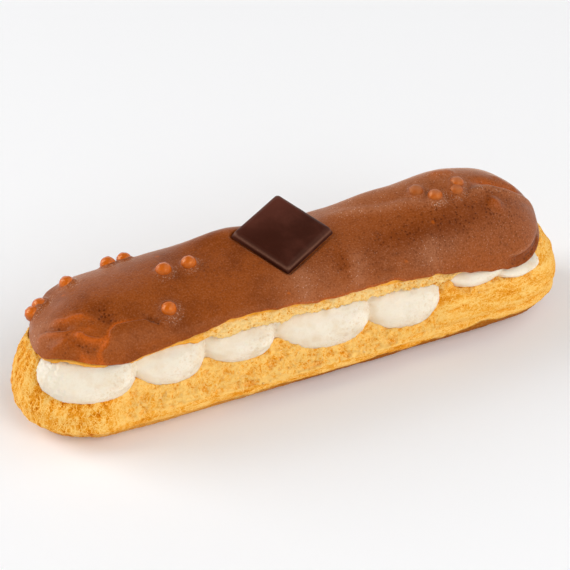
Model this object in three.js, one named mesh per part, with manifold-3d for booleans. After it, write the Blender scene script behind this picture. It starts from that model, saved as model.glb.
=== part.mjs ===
// A filled choux bun: base, piped cream, lid, milk chocolate glaze with crisp pearls, dark plaque.
// Millimetres. The length runs along X, the front faces -Y and the floor is Z = 0.
import * as THREE from "three";
import Module from "manifold-3d";

// Plan of the base and of the lid, both with straight sides and rounded ends
const SPINE = 53.5;
const BASE_LEFT_END = 19.3;
const BASE_RIGHT_END = 19.4;
const BASE_HALF_WIDTH = 18.2;
const LID_LEFT_SPINE = 50;
const LID_LEFT_END = 18.4;
const LID_RIGHT_SPINE = 52;
const LID_RIGHT_END = 16.8;
const LID_HALF_WIDTH = 16.6;
const CROWN_Y = 3.5;
const CROWN_LEFT_Y = -3;

// Clearance between neighbouring nodes, and the mesh steps around and along
const GAP = 0.3;
const SIDE_STEPS = 24;
const END_STEPS = 14;

// Base: flat foot, rounded lower wall, leaning upper wall, rim and shallow dish
const FOOT_HEIGHT = 7.6;
const FOOT_INSET = 0.3;
const FOOT_END_INSET = 0.36;
const FOOT_CURVE = 2.3;
const WALL_STEPS = 9;
const SIDE_LEAN = 0.25;
const END_LEAN = 0.24;
const RIM_WIDTH = 0.07;
const CREST = 0.3;
const DISH_DEPTH = 3;
const RIM_FRONT = 15.4;
const RIM_BACK = 16.2;
const RIM_LEFT = 19.4;
const RIM_RIGHT = 18.7;
const RIM_WAVES = [
  { at: 18, spread: 12, rise: -2.8 },
  { at: 34.6, spread: 3.4, rise: 4.4 },
  { at: 48, spread: 8, rise: 1 },
];

// Crust relief of the base: lengthwise ridges, knobs, end pleats and the torn slope at the front
const CRUST_SEED = 41;
const RIDGE_PITCH = 4.4;
const RIDGE_HEIGHT = 0.22;
const KNOB_SIZE = 9;
const KNOB_HEIGHT = 0.9;
const PLEATS = 6;
const PLEAT_DEPTH = 0.28;
const TEAR_AT = -1;
const TEAR_SPREAD = 28;
const TEAR_FROM = 4.2;
const TEAR_DEPTH = 0.9;

// Lid: cut edge below, crown above
const LID_FRONT = 21.6;
const LID_FRONT_DROP = 2.9;
const LID_BACK = 22.4;
const LID_LEFT = 20.8;
const LID_RIGHT = 19.5;
const LID_WAVES = [{ at: -60, spread: 7, rise: 1.7 }];
const LID_ARCH = 1.4;
const LID_LIP = 0.75;

// Glaze: lower edge and thickness
const SKIN = 1.2;
const EDGE_FRONT = 25;
const EDGE_BACK = 25.2;
const EDGE_LEFT = 22.4;
const EDGE_RIGHT = 20.6;
const EDGE_WAVES = [
  { at: -60, spread: 7, rise: 0.9 },
  { at: -50, spread: 8, rise: -1.5 },
  { at: -14, spread: 17, rise: 2.3 },
];
const EDGE_DROP = 5.6;

// Crown of the glaze: apex height along the length, section curve and local humps and dents
const APEX = 32.4;
const FRONT_CURVE = { power: 1.75, round: 0.7 };
const BACK_CURVE = { power: 2.2, round: 0.6 };
const APEX_WAVES = [
  { at: 43, spread: 15, rise: 2.8 },
];
const CROWN_RELIEF = [
  { x: -61, y: 7, sx: 6, sy: 6, rise: -1.6 },
  { x: -54, y: -8.5, sx: 7, sy: 3.5, rise: -1 },
  { x: -50, y: -13, sx: 9, sy: 2.2, rise: 0.5 },
  { x: -15, y: 10, sx: 9, sy: 5, rise: 2.3 },
  { x: 6, y: 10, sx: 7, sy: 5, rise: -0.9 },
  { x: 24, y: 9, sx: 9, sy: 4.5, rise: 1.9 },
  { x: 43, y: 8, sx: 9, sy: 5, rise: 1.4 },
];
const CROWN_ROWS = [1, 0.98, 0.91, 0.8, 0.65, 0.47, 0.25, 0];
const UNDER_ROWS = [1, 0.96, 0.82, 0.55, 0];

// Crisp pearls set in the glaze: place on the plan and distance of the centre out from the glaze
const PEARL_RADIUS = 2.05;
const PEARLS = [
  [-64.6, 6.4, 1.1],
  [-62.2, 6.9, 0.9],
  [-54.8, 9.6, 0.9],
  [-43, 13.8, 1],
  [-38.8, 14, 1],
  [-33.6, 1.2, 0.8],
  [-27.1, 1.4, 0.8],
  [-36.9, -10.1, 0.6],
  [34.8, 3.2, 0.4],
  [38.3, -0.4, 0.7],
  [45.5, 1.7, 0.5],
  [44.4, -0.2, 0.1],
  [52.9, -5.6, 0.2],
  [42.1, 6.4, -0.3],
  [45.4, 6, -0.4],
  [50, 15.7, -0.3],
  [55.5, 15.4, -0.5],
];

// Cream: piped lobes along each side, the right end of each one forward of the next
const LOBES = [
  { at: -57, width: 20, level: 17.3, back: 0.3, yaw: -17 },
  { at: -39, width: 18, level: 17.1, back: 0, yaw: -11 },
  { at: -21, width: 18, level: 17.1, back: 0, yaw: -11 },
  { at: 0.5, width: 25, level: 15.2, back: 0, yaw: -10 },
  { at: 22.4, width: 20.4, level: 14.1, back: 0, yaw: -10 },
  { at: 43, width: 16, level: 17.6, back: 1.2, yaw: -8 },
  { at: 56, width: 15, level: 16.6, back: 0.6, yaw: 4 },
];
const BACK_LEVEL = 17.8;
const LOBE_Y = -9.6;
const LOBE_DEPTH = 8;
const LOBE_TUCK = 1;
const LOBE_OVERLAP = 1;
const LOBE_STEPS = 16;
const CORE_FRACTION = 0.66;

// Dark chocolate plaque
const PLAQUE_SIDE = 18.1;
const PLAQUE_THICKNESS = 2.2;
const PLAQUE_CORNER = 0.6;
const PLAQUE_LIP = 0.25;
const PLAQUE_SLOPE = 0.35;
const PLAQUE_SHOULDER = 0.9;
const PLAQUE_SHOULDER_FROM = 1.4;
const PLAQUE_LEVELS = [0.25, 0.8, 1.4, 1.8, 2.05, 2.2];
const PLAQUE_PILLOW = 0.25;
const PLAQUE_CENTRE = new THREE.Vector3(-2, 2.8, 32.6);
const PLAQUE_YAW = THREE.MathUtils.degToRad(26.9);
const PLAQUE_PITCH = THREE.MathUtils.degToRad(14.7);
const PLAQUE_ROLL = THREE.MathUtils.degToRad(-2.5);
const CORNER_STEPS = 4;

const wasm = await Module();
wasm.setup();

const { clamp, lerp, smoothstep } = THREE.MathUtils;

function bell(value, centre, spread) {
  const t = (value - centre) / spread;
  return Math.exp(-t * t);
}

function waves(list, x) {
  return list.reduce((sum, wave) => sum + wave.rise * bell(x, wave.at, wave.spread), 0);
}

// Smooth seeded noise between -1 and 1
function lattice(i, j, seed) {
  let h = Math.imul(i, 374761393) ^ Math.imul(j, 668265263) ^ Math.imul(seed, 1274126177);
  h = Math.imul(h ^ (h >>> 13), 1103515245);
  h ^= h >>> 16;
  return ((h >>> 0) / 4294967295) * 2 - 1;
}

function noise(x, y, seed) {
  const i = Math.floor(x);
  const j = Math.floor(y);
  const u = smoothstep(x - i, 0, 1);
  const v = smoothstep(y - j, 0, 1);
  const low = lerp(lattice(i, j, seed), lattice(i + 1, j, seed), u);
  const high = lerp(lattice(i, j + 1, seed), lattice(i + 1, j + 1, seed), u);
  return lerp(low, high, v);
}

// Stations around the plan, anticlockwise from the left end of the front side
function planStations() {
  const list = [];
  const side = (sign) => {
    for (let i = 0; i <= SIDE_STEPS; i++) {
      list.push({ spine: -sign * SPINE * (1 - (2 * i) / SIDE_STEPS), dx: 0, dy: -sign });
    }
  };
  const end = (sign) => {
    for (let i = 1; i < END_STEPS; i++) {
      const a = -Math.PI / 2 + (Math.PI * i) / END_STEPS;
      list.push({ spine: sign * SPINE, dx: sign * Math.cos(a), dy: sign * Math.sin(a) });
    }
  };
  side(1);
  end(1);
  side(-1);
  end(-1);
  return list;
}

const STATIONS = planStations();

// Height of a line that runs round the plan: front, back and both ends
function ringHeight(dx, dy, x, heights) {
  const side = dy < 0 ? heights.front(x) : heights.back(x);
  const end = dx < 0 ? heights.left : heights.right;
  return lerp(side, end, smoothstep(dx * dx, 0, 1));
}

const RIM = {
  front: (x) => RIM_FRONT + waves(RIM_WAVES, x),
  back: (x) => RIM_BACK + 0.6 * Math.sin(x / 7),
  left: RIM_LEFT,
  right: RIM_RIGHT,
};

const LID_EDGE = {
  front: (x) => LID_FRONT + waves(LID_WAVES, x) - LID_FRONT_DROP * smoothstep(x, 2, 58),
  back: (x) => LID_BACK + 0.3 * Math.sin(x / 9),
  left: LID_LEFT,
  right: LID_RIGHT,
};

const GLAZE_EDGE = {
  front: (x) => EDGE_FRONT + waves(EDGE_WAVES, x) - EDGE_DROP * smoothstep(x, 18, 54),
  back: (x) => EDGE_BACK + 0.6 * Math.sin(x / 6 + 1),
  left: EDGE_LEFT,
  right: EDGE_RIGHT,
};

// Closed surface through rows of points, each row running once round
function loft(rows) {
  const positions = [];
  const seen = new Map();
  const indexOf = (p) => {
    const key = [p.x, p.y, p.z].map((c) => Math.round(c * 1e4)).join(",");
    if (!seen.has(key)) {
      seen.set(key, positions.length / 3);
      positions.push(p.x, p.y, p.z);
    }
    return seen.get(key);
  };
  const grid = rows.map((row) => row.map(indexOf));
  const index = [];
  const face = (a, b, c) => {
    if (a !== b && b !== c && c !== a) {
      index.push(a, b, c);
    }
  };
  for (let r = 0; r + 1 < grid.length; r++) {
    const count = grid[r].length;
    for (let i = 0; i < count; i++) {
      const j = (i + 1) % count;
      face(grid[r][i], grid[r][j], grid[r + 1][j]);
      face(grid[r][i], grid[r + 1][j], grid[r + 1][i]);
    }
  }
  const geometry = new THREE.BufferGeometry();
  geometry.setAttribute("position", new THREE.Float32BufferAttribute(positions, 3));
  geometry.setIndex(index);
  return geometry;
}

function solid(geometry) {
  const vertProperties = new Float32Array(geometry.getAttribute("position").array);
  const triVerts = new Uint32Array(geometry.getIndex().array);
  return new wasm.Manifold(new wasm.Mesh({ numProp: 3, vertProperties, triVerts }));
}

function fromSolid(body) {
  const mesh = body.getMesh();
  const geometry = new THREE.BufferGeometry();
  geometry.setAttribute("position", new THREE.BufferAttribute(mesh.vertProperties, 3));
  geometry.setIndex(new THREE.BufferAttribute(mesh.triVerts, 1));
  return geometry;
}

// Outward relief of the crust in millimetres at a place on the wall
function crust(station, x, z, rim) {
  const along = station.spine + Math.atan2(station.dx, Math.abs(station.dy)) * BASE_HALF_WIDTH;
  const ridge = RIDGE_HEIGHT * Math.sin((2 * Math.PI * z) / RIDGE_PITCH + 2 * noise(along / 14, 0, 7));
  const side = station.dy > 0 ? CRUST_SEED + 1 : CRUST_SEED;
  const knob = KNOB_HEIGHT * 0.5 * noise(along / KNOB_SIZE, z / (KNOB_SIZE * 0.7), side);
  const turn = Math.atan2(station.dx, Math.abs(station.dy));
  const pleat = -PLEAT_DEPTH * Math.abs(station.dx) * (1 + Math.cos(2 * PLEATS * turn));
  const torn = station.dy < 0 ? bell(x, TEAR_AT, TEAR_SPREAD) * (1 - station.dx * station.dx) : 0;
  const tear = -TEAR_DEPTH * torn * smoothstep(z, TEAR_FROM, TEAR_FROM + 1.6);
  const fade = smoothstep(z, 0, 2.5) * smoothstep(rim - z, -2, 1.5);
  return (ridge + knob + pleat + tear) * fade;
}

function baseX(station, fraction) {
  return station.spine + fraction * station.dx * (station.dx < 0 ? BASE_LEFT_END : BASE_RIGHT_END);
}

function basePoint(station, fraction, z, outward) {
  const reach = Math.hypot(baseX(station, 1) - station.spine, station.dy * BASE_HALF_WIDTH);
  const f = fraction === 0 ? 0 : fraction + outward / reach;
  return new THREE.Vector3(baseX(station, f), f * BASE_HALF_WIDTH * station.dy, z);
}

function rimHeight(station) {
  return ringHeight(station.dx, station.dy, baseX(station, 1), RIM);
}

function rimSteepness(station) {
  const near = (shift) => ringHeight(station.dx, station.dy, baseX(station, 1) + shift, RIM);
  return Math.hypot(1, near(0.5) - near(-0.5));
}

function footInset(station) {
  return lerp(FOOT_INSET, FOOT_END_INSET, smoothstep(Math.abs(baseX(station, 1)), 30, 60));
}

function wallFraction(station, z, rim) {
  if (z < FOOT_HEIGHT) {
    return 1 - footInset(station) * (1 - z / FOOT_HEIGHT) ** FOOT_CURVE;
  }
  const lean = lerp(SIDE_LEAN, END_LEAN, station.dx * station.dx);
  return 1 - lean * ((z - FOOT_HEIGHT) / (rim - FOOT_HEIGHT)) ** 2;
}

// Choux base, grown on all sides for cutting clearance
function baseGeometry(grow) {
  const rows = [];
  for (const share of [0, 0.55]) {
    rows.push(STATIONS.map((s) => basePoint(s, share * (1 - footInset(s)), -grow, 0)));
  }
  for (let k = 0; k <= WALL_STEPS; k++) {
    rows.push(STATIONS.map((s) => {
      const rim = rimHeight(s);
      const z = rim * (k / WALL_STEPS) ** 1.25;
      const f = wallFraction(s, z, rim);
      const x = baseX(s, f);
      const lift = lerp(-grow, grow * rimSteepness(s), smoothstep(k / WALL_STEPS, 0, 0.9));
      return basePoint(s, f, z + lift, crust(s, x, z, rim) + grow);
    }));
  }
  const dish = RIM_FRONT - DISH_DEPTH;
  rows.push(STATIONS.map((s) => {
    const rim = rimHeight(s);
    const f = wallFraction(s, rim, rim);
    const x = baseX(s, f);
    return basePoint(s, f, rim + grow * rimSteepness(s), crust(s, x, rim, rim) - CREST - grow);
  }));
  const inner = [
    { fall: 0.3, inset: 0.8 },
    { fall: 0.8, inset: 2.2 },
  ];
  for (const { fall, inset } of inner) {
    rows.push(STATIONS.map((s) => {
      const rim = rimHeight(s);
      const f = wallFraction(s, rim, rim) - RIM_WIDTH * inset;
      return basePoint(s, f, lerp(rim, dish, fall) + grow * rimSteepness(s), -grow);
    }));
  }
  for (const share of [0.5, 0]) {
    rows.push(STATIONS.map((s) => basePoint(s, share, dish + grow, 0)));
  }
  return loft(rows);
}

// Plan of the lid: its spine is shorter than that of the base and lies behind the middle
function lidSpine(station) {
  return station.spine * (station.spine < 0 ? LID_LEFT_SPINE : LID_RIGHT_SPINE) / SPINE;
}

function crownLine(spine) {
  return lerp(CROWN_LEFT_Y, CROWN_Y, smoothstep(spine, -LID_LEFT_SPINE, -LID_LEFT_SPINE / 2));
}

function crownReach(spine, dx, dy, inset) {
  const line = crownLine(spine);
  const end = dx < 0 ? LID_LEFT_END : LID_RIGHT_END;
  const half = dy < 0 ? LID_HALF_WIDTH + line : LID_HALF_WIDTH - line;
  return { x: (end - inset) * dx, y: (half - inset) * dy };
}

function crownRelief(x, y) {
  return CROWN_RELIEF.reduce(
    (sum, bump) => sum + bump.rise * bell(x, bump.x, bump.sx) * bell(y, bump.y, bump.sy),
    0,
  );
}

// Crown of the glaze at a share of the way from its spine to its edge, taken in by a thickness
function crownAt(spine, dx, dy, t, inset) {
  const reach = crownReach(spine, dx, dy, inset);
  const x = spine + t * reach.x;
  const y = crownLine(spine) + t * reach.y;
  const edge = ringHeight(dx, dy, spine + reach.x, GLAZE_EDGE);
  const apex = APEX - inset + waves(APEX_WAVES, x);
  const back = (1 + dy) / 2;
  const power = lerp(FRONT_CURVE.power, BACK_CURVE.power, back);
  const round = lerp(FRONT_CURVE.round, BACK_CURVE.round, back);
  const rise = Math.max(1 - t ** power, 0) ** round;
  const relief = crownRelief(x, y) * (1 - t ** 6);
  return new THREE.Vector3(x, y, lerp(edge, apex, rise) + relief);
}

function crownPoint(station, t, inset) {
  return crownAt(lidSpine(station), station.dx, station.dy, t, inset);
}

// Height of the glaze over a place on the plan
function crownHeight(x, y) {
  const spine = clamp(x, -LID_LEFT_SPINE, LID_RIGHT_SPINE);
  const ahead = y < crownLine(spine) ? -1 : 1;
  const full = crownReach(spine, Math.sign(x - spine), ahead, 0);
  const u = x === spine ? 0 : (x - spine) / Math.abs(full.x);
  const v = (y - crownLine(spine)) / Math.abs(full.y);
  const t = Math.hypot(u, v);
  return crownAt(spine, t > 0 ? u / t : 0, t > 0 ? v / t : 1, t, 0).z;
}

// Glaze skin: outer crown, rounded lower edge, inner crown
function glazeGeometry(grow) {
  const rows = [];
  for (const t of [...UNDER_ROWS].reverse()) {
    rows.push(STATIONS.map((s) => crownPoint(s, t, SKIN + grow)));
  }
  rows.push(STATIONS.map((s) => crownPoint(s, 1, SKIN * 0.5).setZ(crownPoint(s, 1, 0).z - SKIN * 0.3 - grow)));
  for (const t of CROWN_ROWS) {
    rows.push(STATIONS.map((s) => crownPoint(s, t, -grow)));
  }
  return loft(rows);
}

// Choux lid: arched underside, torn edge, crown under the glaze
function lidGeometry(grow) {
  const inset = SKIN + GAP + 0.05 - grow;
  const edgeHeight = (s) => {
    const reach = crownReach(lidSpine(s), s.dx, s.dy, inset);
    return ringHeight(s.dx, s.dy, lidSpine(s) + reach.x, LID_EDGE);
  };
  const place = (s, t, bulge, z) => {
    const spine = lidSpine(s);
    const reach = crownReach(spine, s.dx, s.dy, inset - bulge);
    return new THREE.Vector3(spine + t * reach.x, crownLine(spine) + t * reach.y, z);
  };
  const rows = [];
  for (const t of [0, 0.6, 0.93]) {
    rows.push(STATIONS.map((s) => {
      const level = lerp(LID_FRONT, edgeHeight(s), t * t);
      return place(s, t, 0, level + LID_ARCH * (1 - t * t) - grow);
    }));
  }
  for (const share of [0, 0.35, 0.8]) {
    rows.push(STATIONS.map((s) => {
      const low = edgeHeight(s);
      const top = Math.max(crownPoint(s, 1, 0).z - SKIN * 0.3 - GAP, low + 0.3);
      const lip = LID_LIP * Math.sin(Math.PI * (0.15 + 0.85 * share)) * smoothstep(top - low, 0.4, 1.6);
      const torn = 0.25 * noise(s.spine / 3.1, share * 3, CRUST_SEED + 5) * smoothstep(top - low, 1, 3);
      return place(s, 1, lip + torn, lerp(low, top, share) - (share === 0 ? grow : 0));
    }));
  }
  for (const t of UNDER_ROWS) {
    rows.push(STATIONS.map((s) => {
      const p = crownPoint(s, t, inset);
      p.z = Math.max(p.z, edgeHeight(s) + 0.4);
      return p;
    }));
  }
  return loft(rows);
}

function pearl(x, y, lift) {
  const geometry = welded(new THREE.IcosahedronGeometry(PEARL_RADIUS, 1));
  const step = 0.05;
  const outward = new THREE.Vector3(
    crownHeight(x - step, y) - crownHeight(x + step, y),
    crownHeight(x, y - step) - crownHeight(x, y + step),
    2 * step,
  ).normalize();
  const centre = new THREE.Vector3(x, y, crownHeight(x, y)).addScaledVector(outward, lift);
  return solid(geometry.translate(centre.x, centre.y, centre.z));
}

// Indexed copy of a geometry with vertices joined by place
function welded(geometry) {
  const source = geometry.getAttribute("position");
  const list = geometry.getIndex();
  const count = list ? list.count : source.count;
  const positions = [];
  const seen = new Map();
  const index = [];
  const p = new THREE.Vector3();
  const corners = [];
  for (let i = 0; i < count; i++) {
    p.fromBufferAttribute(source, list ? list.getX(i) : i);
    const key = [p.x, p.y, p.z].map((c) => Math.round(c * 1e4)).join(",");
    if (!seen.has(key)) {
      seen.set(key, positions.length / 3);
      positions.push(p.x, p.y, p.z);
    }
    corners.push(seen.get(key));
    if (corners.length === 3) {
      if (new Set(corners).size === 3) {
        index.push(...corners);
      }
      corners.length = 0;
    }
  }
  const joined = new THREE.BufferGeometry();
  joined.setAttribute("position", new THREE.Float32BufferAttribute(positions, 3));
  joined.setIndex(index);
  return joined;
}

function lobe(spec, back) {
  const geometry = welded(new THREE.SphereGeometry(1, LOBE_STEPS, LOBE_STEPS / 2));
  const level = back ? BACK_LEVEL : spec.level;
  const lid = back ? LID_EDGE.back(-spec.at) : LID_EDGE.front(spec.at);
  const half = new THREE.Vector3(spec.width / 2 + LOBE_OVERLAP, LOBE_DEPTH, lid + LOBE_TUCK - level);
  const matrix = new THREE.Matrix4()
    .makeTranslation(spec.at, LOBE_Y + spec.back, level)
    .multiply(new THREE.Matrix4().makeRotationZ(THREE.MathUtils.degToRad(spec.yaw)))
    .multiply(new THREE.Matrix4().makeScale(half.x, half.y, half.z));
  if (back) {
    matrix.premultiply(new THREE.Matrix4().makeRotationZ(Math.PI));
  }
  return solid(geometry.applyMatrix4(matrix));
}

function creamSolid() {
  const level = (share, z) => STATIONS.map((s) => basePoint(s, share, z, 0));
  const low = RIM_FRONT - DISH_DEPTH - 1;
  const high = LID_FRONT + LID_ARCH + 1;
  const core = loft([level(0, low), level(CORE_FRACTION, low), level(CORE_FRACTION, high), level(0, high)]);
  let body = solid(core);
  for (const spec of LOBES) {
    body = body.add(lobe(spec, false)).add(lobe(spec, true));
  }
  const trimmed = body
    .subtract(solid(baseGeometry(GAP)))
    .subtract(solid(lidGeometry(GAP)))
    .subtract(solid(glazeGeometry(GAP)));
  return trimmed.decompose().reduce((most, piece) => (piece.volume() > most.volume() ? piece : most));
}

// How far the plaque's side has sloped in at a height above its underside
function plaqueInset(z) {
  const under = 0.3 * Math.max(1 - z / PLAQUE_LIP, 0);
  const rise = Math.max((z - PLAQUE_SHOULDER_FROM) / (PLAQUE_THICKNESS - PLAQUE_SHOULDER_FROM), 0);
  return under + PLAQUE_SLOPE * z + PLAQUE_SHOULDER * rise ** 3;
}

// Plaque: square with sloping sides, a thin lip, a rounded shoulder and a slightly pillowed face
function plaqueGeometry(grow) {
  const half = PLAQUE_SIDE / 2 + grow;
  const level = (z) => z + grow * ((2 * z) / PLAQUE_THICKNESS - 1);
  const ring = (inset, z) => {
    const points = [];
    const radius = PLAQUE_CORNER + inset * 0.6;
    const centre = half - inset - radius;
    for (let quarter = 0; quarter < 4; quarter++) {
      for (let k = 0; k <= CORNER_STEPS; k++) {
        const a = (quarter + k / CORNER_STEPS) * (Math.PI / 2);
        const sx = quarter === 0 || quarter === 3 ? 1 : -1;
        const sy = quarter < 2 ? 1 : -1;
        points.push(new THREE.Vector3(sx * centre + radius * Math.cos(a), sy * centre + radius * Math.sin(a), z));
      }
    }
    return points;
  };
  const middle = (z) => ring(0, z).map(() => new THREE.Vector3(0, 0, z));
  const top = PLAQUE_THICKNESS + grow;
  const rows = [
    middle(-grow),
    ring(plaqueInset(0), -grow),
    ...PLAQUE_LEVELS.map((z) => ring(plaqueInset(z), level(z))),
    ring(half * 0.5, top + PLAQUE_PILLOW * 0.75),
    middle(top + PLAQUE_PILLOW),
  ];
  const place = new THREE.Matrix4()
    .makeTranslation(PLAQUE_CENTRE.x, PLAQUE_CENTRE.y, PLAQUE_CENTRE.z)
    .multiply(new THREE.Matrix4().makeRotationY(PLAQUE_ROLL))
    .multiply(new THREE.Matrix4().makeRotationX(PLAQUE_PITCH))
    .multiply(new THREE.Matrix4().makeRotationZ(PLAQUE_YAW));
  return loft(rows).applyMatrix4(place);
}

function glazeSolid() {
  let body = solid(glazeGeometry(0));
  for (const [x, y, lift] of PEARLS) {
    body = body.add(pearl(x, y, lift));
  }
  return body.subtract(solid(lidGeometry(GAP))).subtract(solid(plaqueGeometry(GAP)));
}

function node(name, geometry, color, roughness) {
  const mesh = new THREE.Mesh(
    geometry,
    new THREE.MeshStandardMaterial({ color: new THREE.Color(color), roughness, metalness: 0 }),
  );
  mesh.name = name;
  return mesh;
}

const eclair = new THREE.Group();
eclair.name = "eclair";
eclair.add(
  node("choux_base", baseGeometry(0), "rgb(236, 168, 74)", 0.75),
  node("cream_filling", fromSolid(creamSolid()), "rgb(245, 232, 207)", 0.5),
  node("choux_lid", lidGeometry(0), "rgb(243, 186, 93)", 0.8),
  node("chocolate_glaze", fromSolid(glazeSolid()), "rgb(144, 75, 36)", 0.4),
  node("chocolate_plaque", plaqueGeometry(0), "rgb(74, 38, 28)", 0.35),
);

export default eclair;
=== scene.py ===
"""Filled choux bun with a milk chocolate glaze: crust, piped cream, pearls and a bare plaque."""
import math
from types import SimpleNamespace

import bmesh
import bpy
import numpy as np
from bpy.props import FloatProperty, FloatVectorProperty, IntProperty, PointerProperty
from mathutils import Matrix, Vector


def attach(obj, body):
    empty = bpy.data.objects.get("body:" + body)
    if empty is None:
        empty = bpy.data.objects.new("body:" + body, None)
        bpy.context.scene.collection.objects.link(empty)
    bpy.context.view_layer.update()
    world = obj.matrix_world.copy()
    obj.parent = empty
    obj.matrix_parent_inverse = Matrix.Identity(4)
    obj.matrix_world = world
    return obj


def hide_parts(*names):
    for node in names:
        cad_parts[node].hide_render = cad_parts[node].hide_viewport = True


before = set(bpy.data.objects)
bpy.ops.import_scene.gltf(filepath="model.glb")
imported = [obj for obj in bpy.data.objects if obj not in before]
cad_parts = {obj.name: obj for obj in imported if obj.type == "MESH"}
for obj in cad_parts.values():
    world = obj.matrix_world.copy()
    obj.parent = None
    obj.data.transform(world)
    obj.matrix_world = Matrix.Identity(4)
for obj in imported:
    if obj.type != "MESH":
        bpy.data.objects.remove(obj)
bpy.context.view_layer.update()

bl_info = {
    "name": "Filled choux bun",
    "version": (1, 0, 0),
    "blender": (4, 5, 0),
    "location": "View3D > Sidebar > Choux bun",
    "description": "Builds a glazed choux bun with piped cream, pearls and a plaque",
    "category": "Mesh",
}

MM = 0.001

# Lines round the bun: place along the length, spread and rise, in millimetres
RIM_WAVES = [(18, 12, -2.8), (34.6, 3.4, 4.4), (48, 8, 1)]
EDGE_DRIPS = [(-2, 3, -0.3), (19, 1.8, 0.4), (23.5, 2.5, -0.5), (31, 1.8, 0.8)]
APEX_WAVES = [(43, 15, 2.8)]

# Lower edges of the lid and the glaze along the front: place along the length and height
LID_LINE = [
    (-66, 29), (-62.7, 25.8), (-60.9, 24.2), (-59, 23.2), (-56, 22.3), (-51, 21.6), (-44, 22.4),
    (-36, 23.1), (-30, 22.6), (-24, 21.9), (-12, 21.7), (-5, 22.3), (2, 21.5), (10, 21.4), (20, 20.8),
    (30, 20.1), (35, 20.5), (38.5, 20.9), (44, 19.9), (49, 18.9), (53, 18.2), (60, 17.9),
]
GLAZE_LINE = [
    (-66, 30.5), (-62.7, 27.1), (-59, 24.6), (-55, 23.6), (-51, 23.1), (-44, 23.8), (-35, 24.9),
    (-26, 26.5), (-20, 27.1), (-12, 26.3), (-3, 25.4), (8, 25.1), (19, 24.6), (28, 23.5), (36, 22.1),
    (44, 20.5), (52, 18.9), (60, 18.7),
]

# Humps and dents of the crown: x, y, spread in x, spread in y, rise
CROWN_RELIEF = [
    (-61, 7, 6, 6, -1.6),
    (-54, -8.5, 7, 3.5, -1),
    (-50, -13, 9, 2.2, 0.5),
    (-15, 10, 9, 5, 2.3),
    (6, 10, 7, 5, -0.9),
    (24, 9, 9, 4.5, 1.9),
    (43, 8, 9, 5, 1.4),
]
# Section of the crown at the front and at the back: power of its curve and how full it is
CROWN_FRONT = (1.75, 0.7)
CROWN_BACK = (2.2, 0.6)

# Folds of the glaze: points on the plan, half width, rise, and tint, orange above 0 and dark below; the dark
# tint lies along dents and creases, a painted shade there
GLAZE_FOLDS = [
    ([(-59.6, -8.8), (-57.6, -11.4), (-54.7, -13), (-52.6, -13)], 0.8, 0.5, 1),
    ([(-61, -10), (-58.6, -12.8), (-55.9, -13.9)], 0.8, -0.4, -0.5),
    ([(-60.4, -13.7), (-57.8, -15.2), (-55.3, -16)], 0.8, 0.35, 0.9),
    ([(-65.3, -8.9), (-63.8, -9.1), (-62.1, -9.6)], 0.8, 0.4, 0.2),
    ([(-67, -3.5), (-65.2, -4.7), (-63.5, -6.1), (-60.7, -8.7)], 0.9, 0.45, 0.3),
    ([(-65.6, -2), (-62.8, -4.7), (-59.8, -7)], 0.9, -0.4, -0.4),
    ([(-62.7, -2.8), (-60.2, -4.5), (-55.5, -5.7)], 0.8, 0.3, 0.6),
    ([(-53.3, -3.9), (-51.6, -6.6), (-50.3, -9)], 1.3, -0.45, -0.9),
    ([(-42.6, -9.9), (-41.7, -11.4), (-39.9, -12.5)], 0.75, -0.9, -1),
    ([(8.3, -5.8), (7.9, -8.8), (7.4, -12)], 2.2, -0.35, -0.7),
    ([(11.9, -8.2), (10.9, -11.6), (9.9, -15.4)], 1.8, 0.35, 0),
    ([(16, -8.5), (15.3, -12.4), (14.6, -16)], 1.8, -0.25, -0.15),
    ([(32.2, -8.8), (31, -12), (30, -15.2)], 2, 0.4, 0),
    ([(-2.8, -8), (-3.6, -12.5), (-4.3, -16.5)], 2.2, 0.25, 0),
    ([(12.5, 6), (16.1, 5), (24.3, 2.4), (31.2, 1.2), (35, -1.3), (39.2, -2.4), (42, -4)], 1.5, 0.5, 0),
    ([(47, -2), (50, -1.2), (53.5, -1), (56.1, -1.6), (60.7, -1.8), (65.2, -1.4), (67.3, -1.5)],
     1.2, 0.85, 0),
    ([(50.5, 1.9), (54.6, 1.5), (57, 0.5), (60, 0.2), (63.5, 0.2)], 1.2, -0.95, 0.75),
    ([(57.5, 4.6), (60.5, 2.8), (64, 2)], 1.3, 0.45, 0.2),
]
# Where the smooth sheet of glaze ends over the folds at the left
SHEET_EDGE = [(-41.7, -11.4), (-46.5, -10.8), (-50, -10.3), (-51.8, -11.4), (-53.3, -13.9),
              (-55.6, -14.8), (-54.6, -16.4)]
SHEET_REST = [(-54.6, -24), (-36, -24), (-38, -12.6)]
# Wrinkled place at the left: x, y, spread in x and in y, and the direction across its wrinkles
WRINKLES = (-59, -8.5, 6, 5)
WRINKLE_TURN = (0.85, 0.53)
WRINKLE_SEED = 23
# Unevenness of the lower edge of the glaze
RIPPLE_SEED = 17
# Hollow in the glaze under the plaque: gap, margin round it, slope of its side and reach of the slope
SEAT_GAP = 0.15
SEAT_MARGIN = 0.2
SEAT_SLOPE = 2.2
SEAT_REACH = 2.0
# Dark flap of the lower edge at the right, along the length: where it starts and where it ends
FLAP_START = (50, 55)
FLAP_END = (66, 63)
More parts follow.
